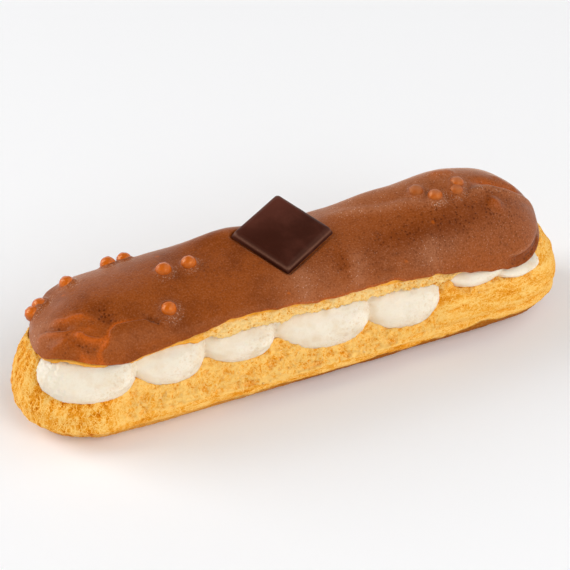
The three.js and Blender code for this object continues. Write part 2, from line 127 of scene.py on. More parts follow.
# Places of painted sheen and of frosting, and dark places of the glaze: x, y, spread in x, spread in y,
# strength
FROST_AND_SHEEN = [
    (30, -12, 6, 3, 0.7), (37, -11.5, 4, 2, 0.5), (-3, -12, 8, 5, 0.5), (20, 9, 18, 4, 0.85),
    (45, 8, 14, 5, 0.6), (-50, 10, 14, 5, 0.2), (60, -6, 7, 6, 0.55), (50, -10, 10, 4, 0.4),
    (14, -11, 9, 5, 0.3), (-66, -2, 3.5, 4, 0.9),
]
SHADE = [
    (41, -6.6, 8, 2.4, 0.9), (24, -7.3, 6, 2, 0.6), (-52, -7, 3, 3, 0.6), (-20, -2, 14, 5, 0.25),
    (34, -7, 20, 7, 0.6), (56, -5, 10, 8, 0.45),
]

# Crisp pearls: place on the plan, lift out of the glaze, share under the glaze
PEARLS = [
    (-64.6, 6.8, 0.5, 0.1),
    (-62.4, 8.2, 0.2, 0.1),
    (-54.8, 9.8, 0.5, 0.1),
    (-43, 13.8, 0.8, 0.1),
    (-38.8, 14.2, 0.5, 0.15),
    (-33.6, 1.2, 0.8, 0.25),
    (-27.1, 1.4, 0.8, 0.25),
    (-36.9, -10.1, 0.6, 0.2),
    (34.8, 3.2, 0.4, 0.5),
    (38.3, -0.4, 0.7, 0.2),
    (45.5, 1.7, 0.5, 0.3),
    (44.4, -0.2, 0.1, 0.4),
    (52.9, -5.6, 0.2, 0.9),
    (42.1, 6.4, -0.3, 0.9),
    (45.4, 6, -0.4, 0.9),
    (50, 15.7, -0.3, 0.8),
    (55.5, 15.4, -0.5, 0.8),
]
# How deep a pearl sits without a lift, and the shares from which the glaze covers it thinly and wholly
PEARL_SUNK = 0.5
FILMED = 0.4
BURIED = 0.6

# Piped lobes along the front: place, width, level, set back and yaw in degrees
LOBES = [
    (-57.6, 21, 17.3, 0.3, -20),
    (-39, 18, 17.1, 0, -16),
    (-21, 18, 17.1, 0, -16),
    (0.5, 25, 15.2, 0, -14),
    (22.4, 20.4, 14.1, 0, -14),
    (43, 16, 17.6, 1.2, -10),
    (54.6, 13, 16.6, 0.8, 2),
]
# The lobes at the back are those of the front, turned round, a little closer together and narrower
BACK_CLOSER = 0.94
BACK_NARROWER = 1

# Crust of the base, in millimetres
CRUST_SEED = 41
RIDGE_SEED = 7
RIDGE_PITCH = 4.4
KNOB_SIZE = 9
PLEATS = 6
# Browned foot: height, and where it reaches higher, as place, spread and rise
BROWNED = 4.9
BROWNED_WAVES = [(44, 9, 1.8)]
# Where the crust starts to fan out towards the left end, and where it does so fully
FAN = (46, 60)
# Torn front: place along the length, spread, lowest height and how soon it is fully open
TEAR_AT = -1
TEAR_SPREAD = 28
TEAR_FROM = 6.2
TEAR_RISE = 1.6
# Weaker tear further left: strength, place and spread
LEFT_TEAR = 0.7
LEFT_TEAR_AT = -36
LEFT_TEAR_SPREAD = 14
# How the wall draws in, in shares of the plan
FOOT_INSET = 0.3
FOOT_END_INSET = 0.36
FOOT_CURVE = 2.3
SIDE_LEAN = 0.25
END_LEAN = 0.26
RIM_WIDTH = 0.07
# Inside of the rim: share of the fall to the hollow, and widths of the rim inwards
INNER_WALL = [(0.1, 0.8), (0.8, 2.2)]
# Core of the cream at the sides, at the ends and what is added at the back left corner
CORE_FRACTION = 0.7
CORE_END_FRACTION = 0.56
CORE_CORNER = 0.6

# How finely the pieces are divided
SIDE_STEPS = 430
END_STEPS = 200
WALL_ROWS = 96
CROWN_ROWS = 92
LID_EDGE_ROWS = 26
BEAD_STEPS = 9
CORE_STEPS = (120, 60)
LOBE_STEPS = (96, 48)
PEARL_STEPS = 5
PLAQUE_STEPS = (73, 73, 23)
CRUMB_STEPS = (6, 4)
# Rows of the faces between lid and glaze, and of the lid's underside, as shares of the way to the edge
HIDDEN_ROWS = (0.0, 0.55, 0.82, 0.96, 1.0)
UNDERSIDE_ROWS = (0, 0.3, 0.6, 0.8, 0.9, 0.95, 0.98)

CRUMB_RADIUS = 0.32
NO_TURN = (0.0, 0.0, 0.0)
FULL_TURN = (6.28, 6.28, 6.28)

# Lamps: name, place and size in metres
LAMPS = [
    ("right", (0.9, -0.2, 1.2), 1.0),
    ("left", (-1.1, 0.8, 0.85), 1.0),
    ("front", (0.3, -1.05, 0.9), 0.9),
]
LAMP_AIM = (0, 0, 0.02)
FLOOR_HALF = 3.0
SENSOR_WIDTH = 36


def srgb(red, green, blue):
    """Linear colour with full alpha from the 0 to 255 values of a display."""
    def linear(value):
        value /= 255
        return value / 12.92 if value <= 0.04045 else ((value + 0.055) / 1.055) ** 2.4
    return linear(red), linear(green), linear(blue), 1.0


def length_setting(name, default_mm, description):
    return FloatProperty(name=name, description=description, default=default_mm * MM,
                         unit="LENGTH", precision=5)


def number_setting(name, default, description):
    return FloatProperty(name=name, description=description, default=default)


def colour_setting(name, rgb, description):
    return FloatVectorProperty(name=name, description=description, size=4, subtype="COLOR",
                               min=0, max=1, default=srgb(*rgb))


class BaseSettings(bpy.types.PropertyGroup):
    """Choux base"""

    spine: length_setting("Half spine", 53.5, "Half length of the straight part")
    left_end: length_setting("Left end", 19.3, "Reach of the rounded left end")
    right_end: length_setting("Right end", 19.4, "Reach of the rounded right end")
    half_width: length_setting("Half width", 18.2, "Half width at the widest height")
    foot_height: length_setting("Foot height", 7.6, "Height of the widest part of the wall")
    rim_front: length_setting("Front rim", 15.4, "Height of the rim at the front")
    rim_back: length_setting("Back rim", 16.2, "Height of the rim at the back")
    rim_left: length_setting("Left rim", 23.4, "Height of the rim at the left end")
    rim_right: length_setting("Right rim", 20.2, "Height of the rim at the right end")
    crest: length_setting("Crest", 0.3, "Width of the top of the rim")
    dish_depth: length_setting("Dish depth", 3, "Depth of the hollow under the cream")
    ridge_height: length_setting("Ridge height", 0.22, "Height of the lengthwise ridges")
    knob_height: length_setting("Knob height", 0.7, "Height of the knobs of the crust")
    pleat_depth: length_setting("Pleat depth", 0.12, "Depth of the pleats round the ends")
    tear_depth: length_setting("Tear depth", 0.9, "Depth of the torn slope at the front")
    pore_size: length_setting("Pore size", 1.5, "Width of a hollow in the torn crumb")
    pore_depth: length_setting("Pore depth", 0.95, "Depth of a hollow in the torn crumb")
    flake_height: length_setting("Flake height", 0.7, "Height of the flakes of the crust")
    flake: colour_setting("Flake", (241, 196, 112), "Pale raised flakes and fibres")
    light: colour_setting("Light crust", (231, 161, 54), "Most of the crust")
    crust: colour_setting("Deep crust", (219, 134, 12), "Golden hollows of the crust")
    pore: colour_setting("Pore", (182, 92, 6), "Deep pores and brown strokes")
    baked: colour_setting("Baked", (150, 80, 10), "Dark baked foot")


class LidSettings(bpy.types.PropertyGroup):
    """Choux lid"""

    left_spine: length_setting("Left spine", 50, "Left end of the crown line")
    left_end: length_setting("Left end", 18.4, "Reach of the rounded left end")
    right_spine: length_setting("Right spine", 52, "Right end of the crown line")
    right_end: length_setting("Right end", 16.8, "Reach of the rounded right end")
    half_width: length_setting("Half width", 16.6, "Half width over the glaze")
    crown_y: length_setting("Top line", 3.5, "How far the crown line lies behind the middle")
    crown_left_y: length_setting("Top line at the left", -3, "The same at the left end")
    underside: length_setting("Underside", 21.6, "Height of the flat of the underside")
    edge_back: length_setting("Back edge", 22.4, "Height of the cut edge at the back")
    edge_left: length_setting("Left edge", 22.0, "Height of the cut edge at the left")
    edge_right: length_setting("Right edge", 19.5, "Height of the cut edge at the right")
    arch: length_setting("Arch", 1.4, "Rise of the underside to the middle")
    lip: length_setting("Lip", 0.75, "Bulge of the torn edge")
    gap: length_setting("Clearance", 0.35, "Space between the lid and the glaze")
    edge: colour_setting("Edge", (236, 160, 44), "Golden skin under the glaze")
    flake: colour_setting("Flake", (241, 206, 138), "Pale fibres of the crumb")
    light: colour_setting("Crumb", (231, 174, 82), "Walls of the open crumb")
    crust: colour_setting("Hollow", (212, 136, 32), "Hollows of the open crumb")
    pore: colour_setting("Pore", (190, 104, 18), "Deep pores of the crumb")


class CreamSettings(bpy.types.PropertyGroup):
    """Piped cream"""

    lobe_y: length_setting("Lobe line", -9.6, "Place of the lobes across the bun")
    lobe_depth: length_setting("Lobe depth", 8, "Half depth of a lobe")
    tuck: length_setting("Tuck", 1, "How far a lobe runs up behind the lid's edge")
    overlap: length_setting("Overlap", 0.8, "How far each lobe runs into the next")
    back_level: length_setting("Back level", 17.8, "Height of the lobes along the back")
    grain: length_setting("Grain", 0.3, "Size of the faces of the cream")
    bubble_size: length_setting("Bubble size", 0.8, "Distance between bubbles")
    bubble_depth: length_setting("Bubble depth", 0.26, "Depth of a burst bubble")
    cream: colour_setting("Cream", (236, 225, 205), "Smooth cream")
    shade: colour_setting("Shade", (214, 182, 134), "Hollows of the cream")


class GlazeSettings(bpy.types.PropertyGroup):
    """Milk chocolate glaze and pearls"""

    skin: length_setting("Skin", 1.2, "Thickness of the glaze")
    edge_back: length_setting("Back edge", 25.2, "Height of the lower edge at the back")
    edge_left: length_setting("Left edge", 23.4, "Height of the lower edge at the left")
    edge_right: length_setting("Right edge", 20.6, "Height of the lower edge at the right")
    apex: length_setting("Top", 32.4, "Height of the crown line")
    pearl: length_setting("Pearl radius", 2.05, "Radius of a crisp pearl")
    edge: length_setting("Edge", 0.7, "Thickness of the glaze at its lower edge")
    chocolate: colour_setting("Chocolate", (149, 74, 25), "Milk chocolate")
    # Dark chocolate, also used as painted shade in dents and creases of the glaze and under the pearls.
    dark: colour_setting("Dark chocolate patches", (108, 46, 8), "Thicker and hollow places")
    thin: colour_setting("Thin chocolate", (198, 92, 20), "Thin places and the lower edge")
    # Pale colour of painted sheen and highlights on the glaze and the pearls, and of frosting.
    frost: colour_setting("Frost", (172, 110, 76), "Frosted places")
    pit: colour_setting("Pits", (94, 38, 5), "Small pits in the dark places")
    dots: colour_setting("Dots", (222, 186, 160), "Fine pale dots")
    caramel: colour_setting("Caramel", (206, 98, 6), "Crisp pearls")


class PlaqueSettings(bpy.types.PropertyGroup):
    """Dark chocolate plaque"""

    side: length_setting("Side", 18.1, "Side of the square at its lip")
    thickness: length_setting("Thickness", 2.2, "Thickness without the pillow")
    corner: length_setting("Corner", 0.6, "Radius of the corners of the lip")
    lip: length_setting("Lip", 0.25, "Height of the lip")
    slope: length_setting("Slope", 0.77, "How far the sides slope in")
    shoulder: length_setting("Shoulder", 0.9, "Width of the rounded shoulder")
    shoulder_from: length_setting("Shoulder from", 1.4, "Height where the shoulder starts")
    pillow: length_setting("Pillow", 0.25, "Rise of the middle of the face")
    centre: FloatVectorProperty(name="Centre", description="Middle of the underside", size=3,
                                subtype="TRANSLATION", default=(-0.002, 0.0028, 0.0326))
    turn: FloatVectorProperty(name="Turn", description="Pitch, roll and yaw", size=3, subtype="EULER",
                              default=(math.radians(14.7), math.radians(-2.5), math.radians(26.9)))
    face: colour_setting("Face", (54, 19, 9), "Dark chocolate")
    # Pale bloom, and a painted sheen towards the far side of the face.
    bloom_and_sheen: colour_setting("Bloom", (104, 54, 42), "Pale bloom on the dark chocolate")
    # The pale lines along the shoulder and the lip are painted highlights.
    crest: colour_setting("Worn edge", (150, 108, 88), "Pale line along the shoulder and the lip")


class StageSettings(bpy.types.PropertyGroup):
    """Floor, light and camera"""

    target: FloatVectorProperty(name="Aim point", description="Point that the camera looks at", size=3,
                                subtype="TRANSLATION", default=(0.001684, 0.009158, 0.012414))
    distance: FloatProperty(name="Distance", description="From the target to the camera",
                            default=0.45, unit="LENGTH")
    azimuth: FloatProperty(name="Azimuth", description="Turn of the camera from the front",
                           default=math.radians(-24.82), subtype="ANGLE")
    elevation: FloatProperty(name="Elevation", description="Height of the camera as an angle",
                             default=math.radians(36), subtype="ANGLE")
    lens: number_setting("Lens", 112.54, "Focal length in millimetres")
    sky: number_setting("Sky", 1.05, "Strength of the light from the horizon")
    zenith: number_setting("Zenith", 0.05, "Strength of the light from straight above")
    right: number_setting("Right", 3.6, "Power of the high light at the right in watts")
    left: number_setting("Left", 16.5, "Power of the light at the back left in watts")
    front: number_setting("Front", 10.4, "Power of the main light at the front in watts")
    floor: colour_setting("Floor", (252, 252, 253), "Pale floor")


def arithmetic(operation, turned=False):
    """Method that joins a socket and another value by a maths node."""
    def joined(self, other):
        return self.math(operation, *((other, self) if turned else (self, other)))
    return joined


class Wire:
    """A node's socket in an expression: arithmetic on it adds nodes to its tree."""

    def __init__(self, graph, socket):
        self.graph = graph
        self.socket = socket

    def is_vector(self):
        return self.socket.type in ("VECTOR", "RGBA")

    def math(self, operation, *values):
        if not any(isinstance(v, Wire) and v.is_vector() for v in values):
            return self.graph.wire("ShaderNodeMath", {"operation": operation}, dict(enumerate(values)))
        if operation == "MULTIPLY" and not all(isinstance(v, (tuple, Wire)) and
                                               (isinstance(v, tuple) or v.is_vector()) for v in values):
            vector, factor = values if values[0].is_vector() else values[::-1]
            return self.graph.wire("ShaderNodeVectorMath", {"operation": "SCALE"},
                                   {0: vector, "Scale": factor})
        return self.graph.wire("ShaderNodeVectorMath", {"operation": operation}, dict(enumerate(values)))

    __add__ = arithmetic("ADD")
    __radd__ = arithmetic("ADD", turned=True)
    __sub__ = arithmetic("SUBTRACT")
    __rsub__ = arithmetic("SUBTRACT", turned=True)
    __mul__ = __rmul__ = arithmetic("MULTIPLY")
    __truediv__ = arithmetic("DIVIDE")
    __rtruediv__ = arithmetic("DIVIDE", turned=True)
    __pow__ = arithmetic("POWER")
    __gt__ = arithmetic("GREATER_THAN")
    least = arithmetic("MINIMUM")
    most = arithmetic("MAXIMUM")

    def __abs__(self):
        return self.math("ABSOLUTE", self)

    def sign(self):
        return self.math("SIGN", self)

    def step(self, low, high):
        """0 below low, 1 above high and a smooth rise between; high may be the lower one."""
        if low > high:
            return 1 - self.step(high, low)
        return self.graph.wire("ShaderNodeMapRange", {"interpolation_type": "SMOOTHSTEP"},
                               {"Value": self, "From Min": low, "From Max": high})

    def share(self, low, high):
        """0 below low, 1 above high and an even rise between."""
        return self.graph.wire("ShaderNodeMapRange", None,
                               {"Value": self, "From Min": low, "From Max": high})

    def part(self, axis):
        split = self.graph.node("ShaderNodeSeparateXYZ", inputs={0: self})
        return Wire(self.graph, split.outputs[axis])


class Graph:
    """Adds nodes to a tree."""

    def __init__(self, tree):
        self.tree = tree

    def pick(self, sockets, key):
        if isinstance(key, int):
            return sockets[key]
        return next(s for s in sockets if s.enabled and key in (s.name, s.identifier))

    def feed(self, socket, value):
        if isinstance(value, Wire):
            self.tree.links.new(value.socket, socket)
        else:
            socket.default_value = value

    def node(self, kind, settings=None, inputs=None):
        """A node of that type, its settings made first, then its sockets' values and links."""
        made = self.tree.nodes.new(kind)
        for name, value in (settings or {}).items():
            setattr(made, name, value)
        for key, value in (inputs or {}).items():
            self.feed(self.pick(made.inputs, key), value)
        return made

    def wire(self, kind, settings=None, inputs=None, out=None):
        outputs = self.node(kind, settings, inputs).outputs
        return Wire(self, next(o for o in outputs if o.enabled) if out is None else self.pick(outputs, out))

    def blend(self, factor, first, second):
        """Colour between two colours."""
        return self.wire("ShaderNodeMix", {"data_type": "RGBA"}, {"Factor": factor, "A": first, "B": second})

    def coats(self, colour, *coats):
        """A colour under others, each with how far it covers what lies below."""
        for cover, coat in coats:
            colour = self.blend(cover, colour, coat)
        return colour

    def vector(self, x, y, z):
        return self.wire("ShaderNodeCombineXYZ", None, {0: x, 1: y, 2: z})

    def noise(self, vector, scale=1.0, detail=2.0, roughness=0.5, distortion=0.0):
        return self.wire("ShaderNodeTexNoise", {"noise_dimensions": "3D"},
                         {"Vector": vector, "Scale": scale, "Detail": detail, "Roughness": roughness,
                          "Distortion": distortion}, "Fac")

    def strands(self, vector, scale=1.0):
        """Thin winding threads: 1 on a thread and 0 between."""
        swirl = self.noise(vector, scale, 3.0, 0.55, 1.6)
        return (1 - abs(swirl - 0.5) * 2.0).step(0.91, 0.99)

    def cells(self, vector, scale=1.0):
        """Distance from the middle of a cell, and a random number for each cell."""
        made = self.node("ShaderNodeTexVoronoi", None, {"Vector": vector, "Scale": scale})
        return Wire(self, made.outputs["Distance"]), Wire(self, made.outputs["Color"]).part(0)

    def net(self, vector, scale=1.0):
        """Distance from the edge of a cell."""
        return self.wire("ShaderNodeTexVoronoi", {"feature": "DISTANCE_TO_EDGE"},
                         {"Vector": vector, "Scale": scale}, "Distance")


class Recipe(Graph):
    """A Geometry Nodes tree with named inputs."""

    def __init__(self, name, **inputs):
        super().__init__(bpy.data.node_groups.new(name, "GeometryNodeTree"))
        face = self.tree.interface
        face.new_socket("Geometry", in_out="OUTPUT", socket_type="NodeSocketGeometry")
        face.new_socket("Geometry", in_out="INPUT", socket_type="NodeSocketGeometry")
        self.values = {}
        for label, value in inputs.items():
            kind = {float: "Float", int: "Int", bpy.types.Material: "Material"}[type(value)]
            socket = face.new_socket(label, in_out="INPUT", socket_type="NodeSocket" + kind)
            self.values[socket.identifier] = value
        self.entry = self.tree.nodes.new("NodeGroupInput")

    def given(self, label):
        return Wire(self, self.entry.outputs[label])

    def geometry(self):
        return self.given("Geometry")

    def attribute(self, name):
        return self.wire("GeometryNodeInputNamedAttribute", {"data_type": "FLOAT"}, {"Name": name})

    def position_mm(self):
        return self.wire("GeometryNodeInputPosition") * 1000.0

    def keep(self, geometry, name, value):
        return self.wire("GeometryNodeStoreNamedAttribute", {"data_type": "FLOAT", "domain": "POINT"},
                         {"Geometry": geometry, "Name": name, "Value": value})

    def push(self, geometry, millimetres):
        """Moves each point along its normal."""
        normal = self.wire("GeometryNodeInputNormal")
        return self.wire("GeometryNodeSetPosition", None,
                         {"Geometry": geometry, "Offset": normal * (millimetres * MM)})

    def ball(self, steps, radius):
        segments, rings = steps
        return self.wire("GeometryNodeMeshUVSphere", None,
                         {"Segments": segments, "Rings": rings, "Radius": radius})

    def move(self, geometry, position):
        return self.wire("GeometryNodeSetPosition", None, {"Geometry": geometry, "Position": position})

    def copies(self, points, item, turn, size):
        """A copy of an item on each point."""
        return self.wire("GeometryNodeInstanceOnPoints", None,
                         {"Points": points, "Instance": item, "Rotation": turn, "Scale": size})

    def random(self, low, high):
        """A number or a vector for each point, from the tree's seed."""
        kind = "FLOAT_VECTOR" if isinstance(low, tuple) else "FLOAT"
        return self.wire("FunctionNodeRandomValue", {"data_type": kind},
                         {"Min": low, "Max": high, "Seed": self.given("Seed")})

    def finish(self, geometry):
        real = self.wire("GeometryNodeRealizeInstances", None, {"Geometry": geometry})
        coated = self.wire("GeometryNodeSetMaterial", None,
                           {"Geometry": real, "Material": self.given("Material")})
        self.node("NodeGroupOutput", None, {"Geometry": coated})

    def bake(self, piece):
        """Runs the tree on a piece and leaves the result as its plain mesh."""
        modifier = piece.modifiers.new(self.tree.name, "NODES")
        modifier.node_group = self.tree
        for identifier, value in self.values.items():
            modifier[identifier] = value
        plain(piece)


def plain(piece):
    """Turns what the modifiers make into the piece's own mesh and removes them."""
    depsgraph = bpy.context.evaluated_depsgraph_get()
    made = bpy.data.meshes.new_from_object(piece.evaluated_get(depsgraph), preserve_all_data_layers=True,
                                           depsgraph=depsgraph)
    piece.modifiers.clear()
    old = piece.data
    piece.data = made
    made.name = piece.name
    bpy.data.meshes.remove(old)
    made.polygons.foreach_set("use_smooth", np.ones(len(made.polygons), bool))
    made.update()


def lerp(low, high, share):
    return low + (high - low) * share


def smooth(value, low, high):
    t = np.clip((value - low) / (high - low), 0, 1)
    return t * t * (3 - 2 * t)


def bell(value, centre, spread):
    return np.exp(-(((value - centre) / spread) ** 2))


def waves(rows, x):
    return sum(rise * bell(x, at, spread) for at, spread, rise in rows)


def line_through(points, x):
    """Smooth line through points."""
    at, level = np.array(points, float).T
    slope = np.gradient(level, at)
    x = np.clip(x, at[0], at[-1])
    k = np.clip(np.searchsorted(at, x) - 1, 0, len(at) - 2)
    gap = at[k + 1] - at[k]
    t = (x - at[k]) / gap
    rise = t * t * (3 - 2 * t)
    return (lerp(level[k], level[k + 1], rise) + t * (1 - t) ** 2 * gap * slope[k]
            - t * t * (1 - t) * gap * slope[k + 1])


def lattice(i, j, seed):
    """Seeded value between -1 and 1 at a whole-number place."""
    full = 0xFFFFFFFF
    h = (i * 374761393 ^ j * 668265263 ^ seed * 1274126177) & full
    h = ((h ^ (h >> 13)) * 1103515245) & full
    h ^= h >> 16
    return h / full * 2 - 1


def value_noise(x, y, seed):
    x, y = np.broadcast_arrays(np.asarray(x, float), np.asarray(y, float))
    i = np.floor(x).astype(np.int64)
    j = np.floor(y).astype(np.int64)
    u = smooth(x - i, 0, 1)
    v = smooth(y - j, 0, 1)
    low = lerp(lattice(i, j, seed), lattice(i + 1, j, seed), u)
    high = lerp(lattice(i, j + 1, seed), lattice(i + 1, j + 1, seed), u)
    return lerp(low, high, v)


def path_distance(x, y, points):
    """Distance on the plan from a line through points, and the share of the way along it."""
    near = np.full(np.shape(x), 1e9)
    along = np.zeros(np.shape(x))
    for k, ((ax, ay), (bx, by)) in enumerate(zip(points, points[1:])):
        t = np.clip(((x - ax) * (bx - ax) + (y - ay) * (by - ay)) / ((bx - ax) ** 2 + (by - ay) ** 2), 0, 1)
        d = np.hypot(x - ax - t * (bx - ax), y - ay - t * (by - ay))
        along = np.where(d < near, (k + t) / (len(points) - 1), along)
        near = np.minimum(near, d)
    return near, along


def within(x, y, corners):
    """Which places on the plan lie inside a polygon."""
    odd = np.zeros(np.shape(x), bool)
    for (ax, ay), (bx, by) in zip(corners, corners[1:] + corners[:1]):
        if ay != by:
            odd ^= ((ay > y) != (by > y)) & (x < ax + (y - ay) * (bx - ax) / (by - ay))
    return odd


def in_mm(settings):
    """The lengths of a group of settings in millimetres."""
    fields = settings.bl_rna.properties
    return SimpleNamespace(**{f.identifier: getattr(settings, f.identifier) / MM for f in fields
                              if f.type == "FLOAT" and f.unit == "LENGTH" and not f.is_array})


class BunForm:
    """The bun's shape in millimetres at stations round its plan."""

    def __init__(self, scene):
        self.base = in_mm(scene.bun_base)
        self.lid = in_mm(scene.bun_lid)
        self.glaze = in_mm(scene.bun_glaze)
        self.cream = in_mm(scene.bun_cream)
        base, lid, glaze = self.base, self.lid, self.glaze
        self.rim = (lambda x: base.rim_front + waves(RIM_WAVES, x),
                    lambda x: base.rim_back + 0.6 * np.sin(x / 7), base.rim_left, base.rim_right)
        self.lid_edge = (lambda x: line_through(LID_LINE, x),
                         lambda x: lid.edge_back + 0.3 * np.sin(x / 9),
                         lid.edge_left, lid.edge_right)
        self.glaze_edge = (lambda x: line_through(GLAZE_LINE, x),
                           lambda x: glaze.edge_back + 0.6 * np.sin(x / 6 + 1),
                           glaze.edge_left, glaze.edge_right)

    def stations(self, side_steps, end_steps):
        """Places round the plan, anticlockwise from the left end of the front side."""
        side = self.base.spine * np.linspace(-1, 1, side_steps + 1)
        turn = -np.pi / 2 + np.pi * np.arange(1, end_steps) / end_steps
        still = np.zeros(side_steps + 1)
        flat = np.ones(side_steps + 1)
        tip = np.full(end_steps - 1, self.base.spine)
        spine = np.concatenate([side, tip, -side, -tip])
        dx = np.concatenate([still, np.cos(turn), still, -np.cos(turn)])
        dy = np.concatenate([-flat, np.sin(turn), flat, -np.sin(turn)])
        return SimpleNamespace(spine=spine, dx=dx, dy=dy)

    def ring(self, dx, dy, x, heights, left_turn=(0, 1), right_turn=(0, 1)):
        """Height of a line that runs round the plan, and where it turns from the front into the ends."""
        front, back, left, right = heights
        side = np.where(dy < 0, front(x), back(x))
        turn = np.where(dy > 0, smooth(dx * dx, 0, 1),
                        np.where(dx < 0, smooth(dx * dx, *left_turn), smooth(dx * dx, *right_turn)))
        return lerp(side, np.where(dx < 0, left, right), turn)

    def base_x(self, s, fraction):
        return s.spine + fraction * s.dx * np.where(s.dx < 0, self.base.left_end, self.base.right_end)

    def base_point(self, s, fraction, z, outward=0.0):
        reach = np.hypot(self.base_x(s, 1) - s.spine, s.dy * self.base.half_width)
        f = fraction + np.where(np.asarray(fraction) == 0, 0, outward / reach)
        z = np.broadcast_to(z, s.spine.shape)
        return np.stack([self.base_x(s, f), f * self.base.half_width * s.dy, z], -1)

    def rim_height(self, s):
        return self.ring(s.dx, s.dy, self.base_x(s, 1), self.rim, (0.55, 1), (0, 0.8))

    def foot_inset(self, s):
        return lerp(FOOT_INSET, FOOT_END_INSET, smooth(np.abs(self.base_x(s, 1)), 30, 60))

    def wall(self, s, z, rim):
        """Share of the full plan that the wall has at a height."""
        foot = self.base.foot_height
        low = 1 - self.foot_inset(s) * np.maximum(1 - z / foot, 0) ** FOOT_CURVE
        lean = lerp(SIDE_LEAN, END_LEAN, s.dx * s.dx)
        high = 1 - lean * (np.maximum(z - foot, 0) / (rim - foot)) ** 2
        return np.where(z < foot, low, high)

    def along(self, s):
        """Distance along the wall, the same on both sides, so that it has no seam."""
        return s.spine + np.arctan2(s.dx, np.abs(s.dy)) * self.base.half_width

    def uneven(self, s, size, seed):
        """Noise along the wall, the front's own and the back's own."""
        return value_noise(self.along(s) / size, s.dy * 2, seed)

    def torn(self, s, x, z):
        """How far the skin is torn away from the crumb at the front."""
        side = np.where(s.dy < 0, bell(x, TEAR_AT, TEAR_SPREAD) * (1 - s.dx * s.dx), 0)
        return side * smooth(z, TEAR_FROM, TEAR_FROM + TEAR_RISE)

    def crust(self, s, x, z, rim):
        """Outward relief of the crust."""
        base = self.base
        along = self.along(s)
        sway = 2 * value_noise(along / 14, 0, RIDGE_SEED)
        ridge = base.ridge_height * np.sin(2 * np.pi * z / RIDGE_PITCH + sway)
        place = along / KNOB_SIZE, z / (KNOB_SIZE * 0.7)
        knob = np.where(s.dy > 0, value_noise(*place, CRUST_SEED + 1), value_noise(*place, CRUST_SEED))
        turn = np.arctan2(s.dx, np.abs(s.dy))
        pleat = -base.pleat_depth * np.abs(s.dx) * (1 + np.cos(2 * PLEATS * turn))
        tear = -base.tear_depth * self.torn(s, x, z)
        fade = smooth(z, 0, 2.5) * smooth(rim - z, -2, 1.5)
        return (ridge + base.knob_height * 0.5 * knob + pleat + tear) * fade

    def lid_spine(self, s):
        return s.spine * np.where(s.spine < 0, self.lid.left_spine, self.lid.right_spine) / self.base.spine

    def crown_line(self, spine):
        lid = self.lid
        return lerp(lid.crown_left_y, lid.crown_y, smooth(spine, -lid.left_spine, -lid.left_spine / 2))

    def crown_reach(self, spine, dx, dy, inset):
        lid = self.lid
        line = self.crown_line(spine)
        half = np.where(dy < 0, lid.half_width + line, lid.half_width - line)
        return (np.where(dx < 0, lid.left_end, lid.right_end) - inset) * dx, (half - inset) * dy

    def crown(self, spine, dx, dy, t, inset=0.0):
        """Top of the glaze at a share of the way from its line to its edge, taken in by a thickness."""
        rx, ry = self.crown_reach(spine, dx, dy, inset)
        x = spine + t * rx
        y = self.crown_line(spine) + t * ry
        edge = self.ring(dx, dy, spine + rx, self.glaze_edge)
        apex = self.glaze.apex - inset + waves(APEX_WAVES, x)
        back = (1 + dy) / 2
        power = lerp(CROWN_FRONT[0], CROWN_BACK[0], back)
        bulge = lerp(CROWN_FRONT[1], CROWN_BACK[1], back)
        rise = np.maximum(1 - t ** power, 0) ** bulge
        relief = sum(h * bell(x, a, sx) * bell(y, b, sy) for a, b, sx, sy, h in CROWN_RELIEF) * (1 - t ** 6)
        return np.stack(np.broadcast_arrays(x, y, lerp(edge, apex, rise) + relief), -1)

    def crown_row(self, s, t, inset=0.0):
        return self.crown(self.lid_spine(s), s.dx, s.dy, t, inset)

    def crown_height(self, x, y):
        """Height of the glaze over a place on the plan."""
        spine = np.clip(x, -self.lid.left_spine, self.lid.right_spine)
        line = self.crown_line(spine)
        rx, ry = self.crown_reach(spine, np.sign(x - spine), np.where(y < line, -1, 1), 0.0)
        u = 0.0 if x == spine else (x - spine) / abs(rx)
        v = (y - line) / abs(ry)
        t = math.hypot(u, v)
        return float(self.crown(spine, u / t if t else 0.0, v / t if t else 1.0, t)[..., 2])

    def crown_normal(self, x, y, step=0.05):
        slope = Vector((self.crown_height(x - step, y) - self.crown_height(x + step, y),
                        self.crown_height(x, y - step) - self.crown_height(x, y + step), 2 * step))
        return slope.normalized()

    def pearl_places(self):
        """Centre, cover and lift of each pearl."""
        for x, y, lift, cover in PEARLS:
            outward = self.crown_normal(x, y)
            yield Vector((x, y, self.crown_height(x, y))) + (lift - PEARL_SUNK) * outward, cover, lift


